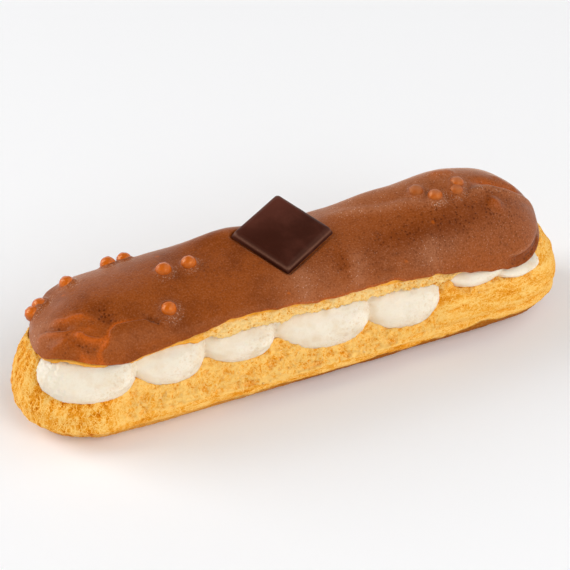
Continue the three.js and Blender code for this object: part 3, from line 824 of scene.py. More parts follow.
class Rows:
    """Rows of points in millimetres, each once round a piece, with point layers."""

    def __init__(self, *layers):
        self.points = []
        self.layers = {key: [] for key in layers}

    def add(self, points, **values):
        self.points.append(points)
        for key, kept in self.layers.items():
            kept.append(values.get(key, 0.0))

    def everywhere(self, key, values):
        """Adds a layer that is the same in every row."""
        self.layers[key] = [values] * len(self.points)

    def loft(self, name):
        """Closed mesh object through the rows."""
        grid = np.stack([np.broadcast_to(row, self.points[-2].shape) for row in self.points])
        count, around = grid.shape[:2]
        index = np.arange(count * around).reshape(count, around)
        low, high = index[:-1], index[1:]
        quads = np.stack([low, np.roll(low, -1, 1), np.roll(high, -1, 1), high], -1).reshape(-1, 4)
        mesh = bpy.data.meshes.new(name)
        mesh.from_pydata((grid.reshape(-1, 3) * MM).tolist(), [], quads.tolist())
        for key, values in self.layers.items():
            spread = np.stack([np.broadcast_to(v, (around,)) for v in values]).astype(np.float32)
            point_layer(mesh, key, spread.ravel())
        body = bmesh.new()
        body.from_mesh(mesh)
        bmesh.ops.remove_doubles(body, verts=body.verts, dist=1e-7)
        bmesh.ops.dissolve_degenerate(body, edges=body.edges, dist=1e-8)
        body.to_mesh(mesh)
        body.free()
        return new_piece(name, mesh)


def new_piece(name, mesh):
    piece = bpy.data.objects.new(name, mesh)
    bpy.context.scene.collection.objects.link(piece)
    mesh.polygons.foreach_set("use_smooth", np.ones(len(mesh.polygons), bool))
    return piece


def point_layer(mesh, key, values):
    mesh.attributes.new(key, "FLOAT", "POINT").data.foreach_set("value", values)


def dots(name, places, **layers):
    """Object of single points in millimetres, with point layers."""
    mesh = bpy.data.meshes.new(name)
    mesh.from_pydata([place * MM for place in places], [], [])
    for key, values in layers.items():
        point_layer(mesh, key, values)
    return new_piece(name, mesh)


def settle(piece, slot, *nodes):
    """Hands a finished piece to the frame."""
    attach(piece, "root")
    if nodes:
        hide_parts(*nodes)


def new_material(name):
    """A material and the graph of its tree."""
    material = bpy.data.materials.new(name)
    material.use_nodes = True
    return material, Graph(material.node_tree)


def dress(material, inputs):
    """Gives a material's shader its values and links."""
    graph = Graph(material.node_tree)
    shader = material.node_tree.nodes["Principled BSDF"]
    for key, value in inputs.items():
        graph.feed(shader.inputs[key], value)
    return material


def object_mm(graph):
    return graph.wire("ShaderNodeTexCoord", None, None, "Object") * 1000.0


def layer(graph, name):
    return graph.wire("ShaderNodeAttribute", {"attribute_name": name}, None, "Fac")


def bump(graph, height, strength, distance_mm):
    return graph.wire("ShaderNodeBump", None, {"Strength": strength, "Distance": distance_mm * MM,
                                               "Height": height})


def drawn_out(graph, along, place, length, height):
    """Coordinates drawn out along the wall."""
    return graph.vector(along / length, place.part(2) / height, place.part(1) / length)


def choux_material(name, look, skin, baked):
    """Golden choux, from pale flakes and fibres to deep hollows, strokes and pores, with a browned foot."""
    material, graph = new_material(name)
    place = object_mm(graph)
    keys = ("along", "fan", "torn", "raised", "hollow")
    along, fan, torn, raised, hollow = (layer(graph, key) for key in keys)

    def flowing(make, length, height):
        """A pattern drawn out along the sides and up the left end."""
        side = make(drawn_out(graph, along, place, length, height))
        end = make(drawn_out(graph, along, place, height * 1.3, length))
        return side + (end - side) * fan

    patch = graph.noise(place, 0.24, 3.0, 0.6)
    speck = graph.noise(place, 1.4, 3.0, 0.6)
    grain = graph.noise(place, 2.1, 2.0, 0.6)
    bands = flowing(lambda v: graph.noise(v + (1.0, 4.0, 2.0), 1.0, 2.0, 0.5, 0.4), 9.0, 1.4)
    lines = flowing(graph.strands, 3.6, 1.1)
    stroke = flowing(lambda v: graph.noise(v + (3.0, 8.0, 1.0), 1.0, 3.0, 0.6, 0.5), 1.8, 0.5)
    mesh = graph.net(place + graph.noise(place, 1.3) * 1.2, 0.8)
    fibre = graph.strands(place, 0.6)
    fine = graph.strands(place + (5.0, 2.0, 8.0), 0.95)
    veins = mesh.step(0.11, 0.02) * (patch.step(0.42, 0.58) * 0.35 + fan * 0.35)
    crust = ((bands - 0.5) * (1.7 + fan * 0.8) - (raised - 0.5) * 0.9 - lines * 0.6
             + stroke.step(0.36, 0.27) * 0.2 - veins)
    # Deeper colour in the crumb's hollows and cells, partly painted shade.
    crumb = (hollow.step(0.05, 0.8) * 0.36 - fibre * 0.75 + (stroke - 0.5) * 0.6
             + mesh.step(0.05, 0.35) * 0.45 - 0.52)
    # Pores painted darker, partly painted shade.
    pores = layer(graph, "pore") * (0.8 - torn * 0.4 - fan * 0.4)
    paler_right = place.part(0).step(18.0, 40.0) * (0.12 - torn * 0.32)
    # The lip is painted paler, a painted highlight.
    depth = (0.68 + fan * 0.14 + (patch - 0.5) * 1.1 + (speck - 0.5) * 0.5 + crust * (1 - torn)
             + crumb * torn + grain.step(0.38, 0.27) * (0.3 - fan * 0.2) - fine * 0.4
             - layer(graph, "lip") * 0.5 + pores - paler_right)
    rough = speck * (0.4 - torn * 0.25) + grain * 0.2 + fine * 0.2 + lines * 0.25 + fibre * torn * 0.15
    return dress(material, {
        "Base Color": graph.coats(look.flake,
                                  (depth.share(0.0, 0.5), look.light),
                                  (depth.share(0.5, 0.9), look.crust),
                                  (depth.share(0.9, 1.25), look.pore),
                                  (layer(graph, "skin") * (0.5 + speck * 0.6), skin),
                                  (layer(graph, "foot") * (0.6 + speck * 0.6), baked)),
        "Roughness": 0.6 + speck * 0.25,
        "Normal": bump(graph, rough, 0.3, 0.16),
        "Specular IOR Level": 0.03,
    })


def choux_recipe(name, material, flake_height, cell_size, cell_depth, seed):
    """Flakes along the wall that fan out at the left end, open crumb where it is torn, and pores."""
    recipe = Recipe(name, Material=material, Flake=flake_height, Cell=cell_size, Depth=cell_depth, Seed=seed)
    place = recipe.position_mm()
    gain, torn, fan = (recipe.attribute(key) for key in ("gain", "torn", "fan"))
    along = recipe.attribute("along") + recipe.given("Seed") * 7.31

    def surface(length, height):
        return drawn_out(recipe, along, place, length, height)

    side_flow = recipe.noise(surface(8.0, 1.6), 1.0, 3.0, 0.55, 0.7)
    end_flow = recipe.noise(surface(2.2, 8.0), 1.0, 3.0, 0.55, 0.7)
    streak = side_flow + (end_flow - side_flow) * fan
    lumps = recipe.noise(place + (3.0, 5.0, 9.0), 0.36)
    warp = recipe.noise(place, 0.7)
    cell = recipe.given("Cell")
    large = recipe.noise(surface(2.0, 1.8) / cell + warp * 1.2, 1.0, 3.0, 0.55).step(0.54, 0.3)
    crater = recipe.net(place + warp * 1.6, 0.3).step(0.03, 0.38)
    foam = (large * 0.45 + crater * 0.65) * torn
    strand = recipe.strands(place, 0.6)
    pits = recipe.noise(surface(1.0, 0.7) + warp * 0.5, 1.0).step(0.37, 0.28)
    cluster = recipe.noise(place + (7.0, 1.0, 3.0), 0.12).step(0.36, 0.52)
    pore = pits * cluster * recipe.attribute("porous")
    fibre = recipe.noise(place, 1.1) - 0.5
    rise = ((streak - 0.5) * recipe.given("Flake") * (1.0 - torn * 0.5) + (lumps - 0.5) * (0.45 + torn * 0.9)
            + fibre * (torn * 0.25 + 0.1) + strand * (torn * 0.22 + 0.03)
            - foam * recipe.given("Depth") - pore * 0.3)
    # Hollows of the crumb, for their deeper colour, partly painted shade.
    shaped = recipe.keep(recipe.geometry(), "hollow", foam * gain)
    shaped = recipe.keep(shaped, "pore", pore * gain)
    shaped = recipe.keep(shaped, "raised", streak)
    recipe.finish(recipe.push(shaped, rise * gain))
    return recipe


class BUN_OT_base(bpy.types.Operator):
    """Choux base: flat foot, flaky wall torn open at the front, rim and hollow"""

    bl_idname = "bun.base"
    bl_label = "Choux base"

    def execute(self, context):
        form = BunForm(context.scene)
        base = form.base
        s = form.stations(SIDE_STEPS, END_STEPS)
        rim = form.rim_height(s)
        inset = form.foot_inset(s)
        rows = Rows("gain", "torn", "foot", "porous", "lip")
        for share in (0, 0.5, 0.9):
            rows.add(form.base_point(s, share * (1 - inset), 0.0), foot=1.0)
        uneven = form.uneven(s, 3.7, CRUST_SEED + 9)
        rough = form.uneven(s, 1.3, CRUST_SEED + 10)
        for k in range(WALL_ROWS + 1):
            z = rim * (k / WALL_ROWS) ** 1.1
            f = form.wall(s, z, rim)
            x = form.base_x(s, f)
            opened = smooth(z + 0.5 * rough, TEAR_FROM, TEAR_FROM + TEAR_RISE)
            open_left = np.where(s.dy < 0, LEFT_TEAR * bell(x, LEFT_TEAR_AT, LEFT_TEAR_SPREAD), 0) * opened
            torn = smooth(np.maximum(form.torn(s, x, z + 0.5 * rough), open_left) + uneven * 0.2, 0.2, 0.5)
            torn = np.maximum(torn, smooth(z - rim + 0.5 * uneven + 0.3 * rough, -2.4, -1.0))
            band = BROWNED + waves(BROWNED_WAVES, x)
            browned = smooth(z - 0.4 * uneven - 0.25 * rough, band, band - 0.8)
            browned = browned * lerp(0.3, 1, smooth(x, -40, 5))
            open_end = smooth(np.abs(x), 34, 62) * lerp(0.6, 1, smooth(z, 9, 4)) + 0.25
            # A lip where the torn slope starts, pushed out and painted paler as a highlight.
            lip = bell(z - 0.3 * uneven, TEAR_FROM + 0.7, 0.4)
            lip = lip * smooth(form.torn(s, x, TEAR_FROM + 3.0), 0.1, 0.5)
            points = form.base_point(s, f, z, form.crust(s, x, z, rim) + 0.4 * lip)
            rows.add(points, gain=smooth(z, 0.2, 2.2), torn=torn, foot=browned, porous=open_end,
                     lip=lip * (0.6 + 0.4 * rough))
        top = form.wall(s, rim, rim)
        x = form.base_x(s, top)
        rows.add(form.base_point(s, top, rim, form.crust(s, x, rim, rim) - base.crest), gain=1.0, torn=torn)
        dish = base.rim_front - base.dish_depth
        for fall, step in INNER_WALL:
            rows.add(form.base_point(s, top - RIM_WIDTH * step, lerp(rim, dish, fall)), gain=0.3, torn=1.0)
        for share in (0.5, 0):
            rows.add(form.base_point(s, share, dish), torn=1.0)
        rows.everywhere("along", form.along(s))
        rows.everywhere("fan", smooth(-form.base_x(s, 1), *FAN))
        piece = rows.loft("bun_base")
        look = context.scene.bun_base
        material = choux_material("choux crust", look, look.crust, look.baked)
        recipe = choux_recipe("Base crust", material, base.flake_height, base.pore_size,
                              base.pore_depth, seed=3)
        recipe.bake(piece)
        settle(piece, "choux_crust", "choux_base")
        return {"FINISHED"}


class BUN_OT_lid(bpy.types.Operator):
    """Choux lid: arched underside, torn crumb edge and a crown under the glaze"""

    bl_idname = "bun.lid"
    bl_label = "Choux lid"

    def execute(self, context):
        form = BunForm(context.scene)
        lid, glaze = form.lid, form.glaze
        inset = glaze.skin + lid.gap
        s = form.stations(SIDE_STEPS, END_STEPS)
        along = form.along(s)
        spine = form.lid_spine(s)
        line = form.crown_line(spine)
        rx, ry = form.crown_reach(spine, s.dx, s.dy, inset)
        low = form.ring(s.dx, s.dy, spine + rx, form.lid_edge)
        top = np.maximum(form.crown_row(s, 1.0)[:, 2] - 0.3, low + 0.3)
        tall = smooth(top - low, 0.4, 1.6)
        ragged = 0.6 * form.uneven(s, 2.7, CRUST_SEED + 5) + 0.35 * form.uneven(s, 1.1, CRUST_SEED + 6)
        hem = low + ragged * (0.25 + 0.75 * smooth(top - low, 0.6, 2.4))
        rows = Rows("gain", "torn", "skin")
        for t in UNDERSIDE_ROWS:
            near_edge = smooth(t, 0.85, 1)
            level = lerp(lid.underside, lerp(low, hem, near_edge), t * t) + lid.arch * (1 - t * t)
            rows.add(np.stack([spine + t * rx, line + t * ry, level], -1), gain=near_edge, torn=1.0)
        for share in np.linspace(0, 1, LID_EDGE_ROWS):
            lip = lid.lip * np.sin(np.pi * (0.15 + 0.85 * min(share / 0.85, 1))) * tall
            bulge = 0.3 * value_noise(along / 3.1, share * 3, CRUST_SEED + 5) * smooth(top - low, 1, 3)
            bx, by = form.crown_reach(spine, s.dx, s.dy, inset - lip - bulge)
            z = lerp(hem, top, share)
            under_glaze = smooth(share + 0.12 * ragged, 0.7, 0.86)
            golden = np.maximum(under_glaze, 0.9 * smooth(spine + rx, -26, -34))
            rows.add(np.stack([spine + bx, line + by, z], -1),
                     gain=smooth(tall, 0, 0.6) * smooth(share, 1.05, 0.75),
                     torn=lerp(0.5, 1, tall) * (1 - golden), skin=golden)
        for t in reversed(HIDDEN_ROWS):
            points = form.crown_row(s, t, inset)
            points[:, 2] = np.maximum(points[:, 2], low + 0.4)
            rows.add(points, skin=1.0)
        rows.everywhere("along", along)
        piece = rows.loft("bun_lid")
        look = context.scene.bun_lid
        material = choux_material("choux crumb", look, look.edge, context.scene.bun_base.baked)
        pore_size, pore_depth = form.base.pore_size * 0.6, form.base.pore_depth * 0.45
        recipe = choux_recipe("Lid crumb", material, 0.3, pore_size, pore_depth, seed=11)
        recipe.bake(piece)
        settle(piece, "choux_crumb", "choux_lid")
        return {"FINISHED"}


class BUN_OT_cream(bpy.types.Operator):
    """Piped cream: rounded lobes along both sides, pressed between base and lid"""

    bl_idname = "bun.cream"
    bl_label = "Piped cream"

    def lobes(self, form):
        """Centre, half sizes and yaw of each lobe, front ones first."""
        cream = form.cream
        front, back = form.lid_edge[:2]
        for at, width, level, behind, yaw in LOBES:
            half = Vector((width / 2 + cream.overlap, cream.lobe_depth, front(at) + cream.tuck - level))
            yield Vector((at, cream.lobe_y + behind, level)), half, math.radians(yaw)
        level = cream.back_level
        for at, width, _, behind, yaw in LOBES:
            half = Vector((width / 2 + cream.overlap - BACK_NARROWER, cream.lobe_depth,
                           back(-at) + cream.tuck - level))
            centre = Vector((-BACK_CLOSER * at, -(cream.lobe_y + behind), level))
            yield centre, half, math.radians(yaw) + math.pi

    def core(self, form):
        """Block of cream between the two rows of lobes."""
        s = form.stations(*CORE_STEPS)
        low = form.base.rim_front - form.base.dish_depth - 1
        high = form.lid.underside + form.lid.arch + 1
        turn = s.dx * s.dx
        corner = np.where((s.dx < 0) & (s.dy > 0), CORE_CORNER * turn * (1 - turn), 0)
        wide = lerp(CORE_FRACTION, CORE_END_FRACTION, turn) + corner
        rows = Rows()
        for fraction, z in ((0.0, low), (wide, low), (wide, high), (0.0, high)):
            rows.add(form.base_point(s, fraction, z))
        return rows.loft("cream_core")

    def execute(self, context):
        form = BunForm(context.scene)
        material = self.material(context.scene.bun_cream)
        spots = list(self.lobes(form))
        axes = ("wide", "deep", "tall")
        sizes = {axis: [half[k] * MM for _, half, _ in spots] for k, axis in enumerate(axes)}
        piece = dots("piped_cream", [centre for centre, _, _ in spots], **sizes,
                     yaw=[yaw for _, _, yaw in spots])
        recipe = Recipe("Cream lobes", Material=material)
        ball = recipe.ball(LOBE_STEPS, 1.0)
        unit = recipe.wire("GeometryNodeInputPosition")
        u, v, w = (unit.part(k) for k in range(3))
        blunt = 2.0 + w.step(-0.2, 0.5) * (1.2 + u.step(-0.4, 0.3) * 1.8) + u.step(0.0, 0.8) * 0.3
        reach = (abs(u) ** blunt + (v * v + w * w) ** (blunt * 0.5)) ** (1 / blunt)
        ball = recipe.move(ball, unit * (1 / reach))
        scale = recipe.vector(*(recipe.attribute(axis) for axis in axes))
        turn = recipe.vector(0.0, 0.0, recipe.attribute("yaw"))
        recipe.finish(recipe.copies(recipe.geometry(), ball, turn, scale))
        recipe.bake(piece)
        core = self.core(form)
        joined = bmesh.new()
        joined.from_mesh(piece.data)
        joined.from_mesh(core.data)
        joined.to_mesh(piece.data)
        joined.free()
        bpy.data.objects.remove(core)
        remesh = piece.modifiers.new("Join", "REMESH")
        remesh.mode = "VOXEL"
        remesh.voxel_size = form.cream.grain * MM
        soften = piece.modifiers.new("Soften", "SMOOTH")
        soften.iterations = 4
        for name in ("bun_base", "bun_lid"):
            cut = piece.modifiers.new("Cut by " + name, "BOOLEAN")
            cut.operation = "DIFFERENCE"
            cut.solver = "MANIFOLD"
            cut.object = bpy.data.objects[name]
        plain(piece)
        largest_part(piece.data)
        self.mark(piece.data, spots)
        self.surface(material, form.cream).bake(piece)
        settle(piece, "cream", "cream_filling")
        return {"FINISHED"}

    def mark(self, mesh, spots):
        """Where the cream is full of bubbles: low and to the right of each lobe."""
        co = np.empty(len(mesh.vertices) * 3, np.float32)
        mesh.vertices.foreach_get("co", co)
        co = co.reshape(-1, 3).astype(float) / MM
        best = np.full(len(co), 9.0)
        bubbly = np.zeros(len(co))
        for centre, half, yaw in spots:
            rel = co - np.array(centre)
            c, n = math.cos(yaw), math.sin(yaw)
            u = (rel[:, 0] * c + rel[:, 1] * n) / half.x
            v = (-rel[:, 0] * n + rel[:, 1] * c) / half.y
            w = rel[:, 2] / half.z
            shell = np.abs(np.sqrt(u * u + v * v + w * w) - 1)
            mask = smooth(u * 0.8 - w * 0.5, -0.2, 0.6)
            bubbly = np.where(shell < best, mask, bubbly)
            best = np.minimum(best, shell)
        point_layer(mesh, "bubbly", bubbly.astype(np.float32))

    def surface(self, material, cream):
        """Burst bubbles, sagging and ragged crumbs of cream."""
        recipe = Recipe("Cream surface", Material=material, Bubble=cream.bubble_size,
                        Depth=cream.bubble_depth)
        place = recipe.position_mm()
        bubbly = recipe.attribute("bubbly")
        far, pick = recipe.cells(place + recipe.noise(place, 1.2) * 0.5, 1.0 / recipe.given("Bubble"))
        pit = far.step(0.5, 0.1) * pick.step(0.1, 0.8)
        sag = recipe.noise(place, 0.3) - 0.5
        crumbly = recipe.noise(place, 1.3, 4.0, 0.65) - 0.5
        ragged = place.part(0).step(-62.0, -66.5)
        burst = pit * (bubbly * 0.9 + 0.1).least(1.0)
        shaped = recipe.keep(recipe.geometry(), "burst", burst)
        rise = sag * 0.5 + crumbly * (bubbly * 0.4 + ragged * 1.5 + 0.06) - burst * recipe.given("Depth")
        recipe.finish(recipe.push(shaped, rise))
        return recipe

    def material(self, look):
        material, graph = new_material("piped cream")
        place = object_mm(graph)
        bubbly = layer(graph, "bubbly")
        cloud = graph.noise(place, 0.25, 3.0, 0.5)
        fine = graph.noise(place, 2.2, 4.0, 0.65)
        return dress(material, {
            "Base Color": graph.coats(look.cream,
                                      (cloud.step(0.45, 0.75) * 0.3, look.shade),
                                      (layer(graph, "burst") * 0.6, look.shade),
                                      (fine.step(0.5, 0.72) * (bubbly * 0.6 + 0.15), look.shade)),
            "Roughness": 0.42 + fine * 0.2,
            "Normal": bump(graph, fine, 0.25, 0.15),
            "Subsurface Weight": 0.3,
            "Subsurface Radius": (1.0, 0.75, 0.5),
            "Subsurface Scale": 1.5 * MM,
        })


def largest_part(mesh):
    """Removes all but the largest connected part."""
    body = bmesh.new()
    body.from_mesh(mesh)
    left = set(body.verts)
    parts = []
    while left:
        stack = [left.pop()]
        part = [stack[0]]
        while stack:
            for edge in stack.pop().link_edges:
                for vertex in edge.verts:
                    if vertex in left:
                        left.remove(vertex)
                        stack.append(vertex)
                        part.append(vertex)
        parts.append(part)
    parts.sort(key=len)
    for part in parts[:-1]:
        bmesh.ops.delete(body, geom=part, context="VERTS")
    body.to_mesh(mesh)
    body.free()


def plaque_matrix(look):
    """Place of the plaque: yaw first, then pitch, then roll."""
    pitch, roll, yaw = look.turn
    return (Matrix.Translation(Vector(look.centre)) @ Matrix.Rotation(roll, 4, "Y")
            @ Matrix.Rotation(pitch, 4, "X") @ Matrix.Rotation(yaw, 4, "Z"))


class BUN_OT_glaze(bpy.types.Operator):
    """Milk chocolate glaze: a skin over the crown with folds, a rounded lower edge and the plaque's seat"""

    bl_idname = "bun.glaze"
    bl_label = "Glaze"

    def marks(self, x, y, pearls):
        """Rise of the folds, and where the glaze is thin, dark, dusted, or paler with painted sheen and
        frost; the dark is partly painted shade in dents and creases.
        """
        rise, thin, dark, frost, dust = (np.zeros(len(x)) for _ in range(5))
        for path, width, height, tint in GLAZE_FOLDS:
            d, t = path_distance(x, y, path)
            near = bell(d, 0, width) * (0.35 + 0.65 * smooth(t, -0.02, 0.15) * smooth(t, 1.02, 0.85))
            rise += height * near
            thin += max(tint, 0) * near
            # The dark tint along dents is painted shade.
            dark += max(-tint, 0) * near
            # Painted highlight along the crests of the plain folds.
            frost += 1.6 * max(height, 0) * near * (tint == 0)
        d, t = path_distance(x, y, SHEET_EDGE)
        inside = np.where(within(x, y, SHEET_EDGE + SHEET_REST), d, -d)
        rise += 0.5 * smooth(inside, -0.3, 0.35) * bell(d, 0, 4.5)
        thin += 0.9 * bell(inside, -0.35, 0.45) * smooth(t, 0.05, 0.3)
        at, line, wide, deep = WRINKLES
        zone = bell(x, at, wide) * bell(y, line, deep) * smooth(inside, 0.3, -0.6)
        c, n = WRINKLE_TURN
        across, down = c * x - n * y, n * x + c * y
        wrinkle = (0.6 * value_noise(across / 4, down / 1.25, WRINKLE_SEED)
                   + 0.5 * value_noise(across / 1.7, down / 0.7, WRINKLE_SEED + 1))
        rise += 0.35 * zone * wrinkle
        thin += zone * (0.14 + 0.65 * np.maximum(wrinkle, 0))
        # Painted shade in the troughs of the wrinkles.
        dark += 0.8 * zone * np.maximum(-wrinkle, 0)
        for a, b, wide, deep, strength in FROST_AND_SHEEN:
            frost += strength * bell(x, a, wide) * bell(y, b, deep)
        for a, b, wide, deep, strength in SHADE:
            dark += strength * bell(x, a, wide) * bell(y, b, deep)
        # Paler towards the right: painted sheen and frosting.
        frost += 0.12 * smooth(x, -4, 12)
        for centre, cover, _ in pearls:
            d = np.hypot(x - centre.x, y - centre.y)
            # Painted highlight on the rise of glaze round each bare pearl.
            frost += 0.2 * (1 - cover) * bell(d, 2.6, 1.0)
            side = (x - centre.x) * 0.5 - (y - centre.y) * 0.87
            dust = np.maximum(dust, (1 - cover) * bell(d, 2.7, 0.9) * smooth(side, -1.5, 1.5))
            thin += (0.35 if cover > FILMED else 0.0) * bell(d, 0, 1.5)
        dark = np.clip(dark, 0, 1)
        return rise, np.clip(thin, 0, 1), dark, np.clip(frost * (1 - dark), 0, 1), dust

    def coated(self, points, pearls, radius):
        """Draws the glaze up round the bare pearls and over the coated ones."""
        x, y, z = points.T
        for centre, cover, lift in pearls:
            d = np.hypot(x - centre.x, y - centre.y)
            z = z + 0.7 * min(1, 1.2 - cover) * bell(np.maximum(d - 1.5, 0), 0, 0.7)
            if cover > BURIED:
                z = z + max(0.25, 0.75 + 1.2 * lift) * bell(d, 0, 1.5)
            elif cover > FILMED:
                dome = np.sqrt(np.maximum(radius ** 2 - d * d, 0))
                ball = centre.z + dome - 2.5 * np.maximum(d - radius, 0)
                over = ball - 1.5 * (1 - cover) - z
                z = z + (over + np.hypot(over, 0.7)) / 2
        return np.stack([x, y, z], -1)

    def seat(self, points, place, half, corner):
        """Lowers the glaze under the plaque."""
        inverse = np.array(place.inverted())
        local = points @ inverse[:3, :3].T + inverse[:3, 3] / MM
        q = np.abs(local[:, :2]) - (half - corner)
        outside = np.hypot(*np.maximum(q, 0).T) + np.minimum(q.max(1), 0) - corner
        limit = -SEAT_GAP + SEAT_SLOPE * np.maximum(outside - SEAT_MARGIN, 0)
        near = outside < SEAT_REACH
        local[:, 2] = np.where(near, np.minimum(local[:, 2], limit), local[:, 2])
        matrix = np.array(place)
        return local @ matrix[:3, :3].T + matrix[:3, 3] / MM

    def execute(self, context):
        form = BunForm(context.scene)
        skin, hem, radius = form.glaze.skin, form.glaze.edge, form.glaze.pearl
        plaque = in_mm(context.scene.bun_plaque)
        place = plaque_matrix(context.scene.bun_plaque)
        s = form.stations(SIDE_STEPS, END_STEPS)
        pearls = list(form.pearl_places())
        ripple = 0.35 * form.uneven(s, 4.3, RIPPLE_SEED) + 0.2 * form.uneven(s, 1.6, RIPPLE_SEED + 1)
        taper = skin - hem
        rows = Rows("gain", "thin", "dark", "frost", "dust")

        def add(points, shift, **values):
            """Adds a row that follows the drips of the lower edge as far as shift says."""
            points = points.copy()
            drips = np.where(s.dy < -0.99, waves(EDGE_DRIPS, points[:, 0]), 0)
            points[:, 2] += (ripple + drips) * shift
            rows.add(points, **values)

        def edge_tint(x):
            return 0.12 + 0.5 * bell(x, 5, 20)

        for t in HIDDEN_ROWS:
            add(form.crown_row(s, t, skin), smooth(t, 0.9, 1))
        rim = form.crown_row(s, 1.0)[:, 2]
        for angle in np.linspace(0, np.pi, BEAD_STEPS)[1:-1]:
            bead = form.crown_row(s, 1.0, taper + hem * (1 + np.cos(angle)) / 2)
            bead[:, 2] = rim - hem * 0.4 * np.sin(angle)
            add(bead, 1.0, thin=edge_tint(bead[:, 0]))
        for k in range(CROWN_ROWS + 1):
            t = math.sin(math.pi / 2 * (1 - k / CROWN_ROWS))
            inset = taper * smooth(t, 0.9, 1.0)
            clear = smooth(1 - t, 0.0, 0.05)
            row = form.crown_row(s, t, inset)
            above = row[:, 2] - rim
            flap = smooth(row[:, 0], *FLAP_START) * smooth(row[:, 0], *FLAP_END) * (s.dy < 0)
            cut = flap * smooth(above, 2.9, 2.4)
            row = form.crown_row(s, t, inset + 0.7 * cut * smooth(above, 0, 1))
            rise, thin, dark, frost, dust = self.marks(row[:, 0], row[:, 1], pearls)
            dark = np.clip(dark + 0.8 * cut, 0, 1)
            # Painted highlight along the top edge of the flap.
            frost = np.clip(frost * (1 - cut) + 0.6 * flap * bell(above, 3.1, 0.4), 0, 1)
            row[:, 2] += rise * clear
            row = self.seat(self.coated(row, pearls, radius), place, plaque.side / 2, plaque.corner)
            edge = smooth(t, 0.984, 1.0) * edge_tint(row[:, 0])
            add(row, smooth(t, 0.85, 1), gain=clear, thin=np.clip(thin + edge, 0, 1), dark=dark * (1 - edge),
                frost=frost, dust=dust)
        piece = rows.loft("milk_glaze")
        material = self.material(context.scene.bun_glaze)
        recipe = Recipe("Glaze skin", Material=material, Wave=0.22, Dimple=0.05)
        at = recipe.position_mm()
        wave = recipe.noise(at, 0.17) - 0.5
        dimple = recipe.noise(at, 1.1, 3.0, 0.6) - 0.5
        rise = wave * recipe.given("Wave") + dimple * recipe.given("Dimple")
        recipe.finish(recipe.push(recipe.geometry(), rise * recipe.attribute("gain")))
        recipe.bake(piece)
        settle(piece, "milk_chocolate", "chocolate_glaze")
        return {"FINISHED"}

    def material(self, look):
        material, graph = new_material("milk chocolate")
        place = object_mm(graph)
        thin, dark, frost, dust = (layer(graph, key) for key in ("thin", "dark", "frost", "dust"))
        cloud = graph.noise(place, 0.08, 3.0, 0.55)
        patch = graph.noise(place, 0.35, 3.0, 0.6, 0.4)
        grain = graph.noise(place, 2.4, 3.0, 0.6)
        crystal = graph.noise(place, 2.6, 2.0, 0.6).step(0.55, 0.66)
        far, pick = graph.cells(place + grain * 0.6, 1.2)
        speck = far.step(0.46, 0.26) * pick.step(0.4, 0.6)
        far, pick = graph.cells(place + (4.0, 1.0, 7.0), 2.1)
        dot = far.step(0.34, 0.16) * pick.step(0.72, 0.82)
        far, pick = graph.cells(place + (patch * 2.0), 0.16)
        drop = far.step(0.13, 0.07) * pick.step(0.6, 0.66)
        return dress(material, {
            "Base Color": graph.coats(look.dark,
                                      (cloud.step(0.3, 0.6) * 0.7 + 0.3, look.chocolate),
                                      (patch.step(0.52, 0.72) * 0.25, look.dark),
                                      # Paler where sheen is painted and where the glaze is frosted.
                                      (frost * (0.5 + patch * 0.5), look.frost),
                                      # Darker patches, and painted shade in dents and creases.
                                      (dark * (0.25 + patch * 0.6), look.dark),
                                      (thin * (0.4 + patch * 0.8), look.thin),
                                      (grain.step(0.52, 0.3) * 0.45, look.dark),
                                      # Paler grains of painted sheen.
                                      (grain.step(0.5, 0.7) * (0.3 + frost * 0.5), look.frost),
                                      (speck * (0.15 + dark * 0.85), look.pit),
                                      (dot * (0.06 + frost * 0.6), look.dots),
                                      (crystal * dust * 0.55, look.dots),
                                      (drop * 0.38, look.caramel)),
            "Roughness": 0.33 + grain * 0.14 + frost * 0.05,
            "Normal": bump(graph, grain * 0.7 + dot * 0.5 - speck * 0.5, 0.4, 0.14),
            "Specular IOR Level": 0.15,
            "Specular Tint": srgb(255, 220, 185),
            "Sheen Weight": 0.4,
            "Sheen Tint": srgb(255, 220, 190),
            "Sheen Roughness": 0.3,
        })


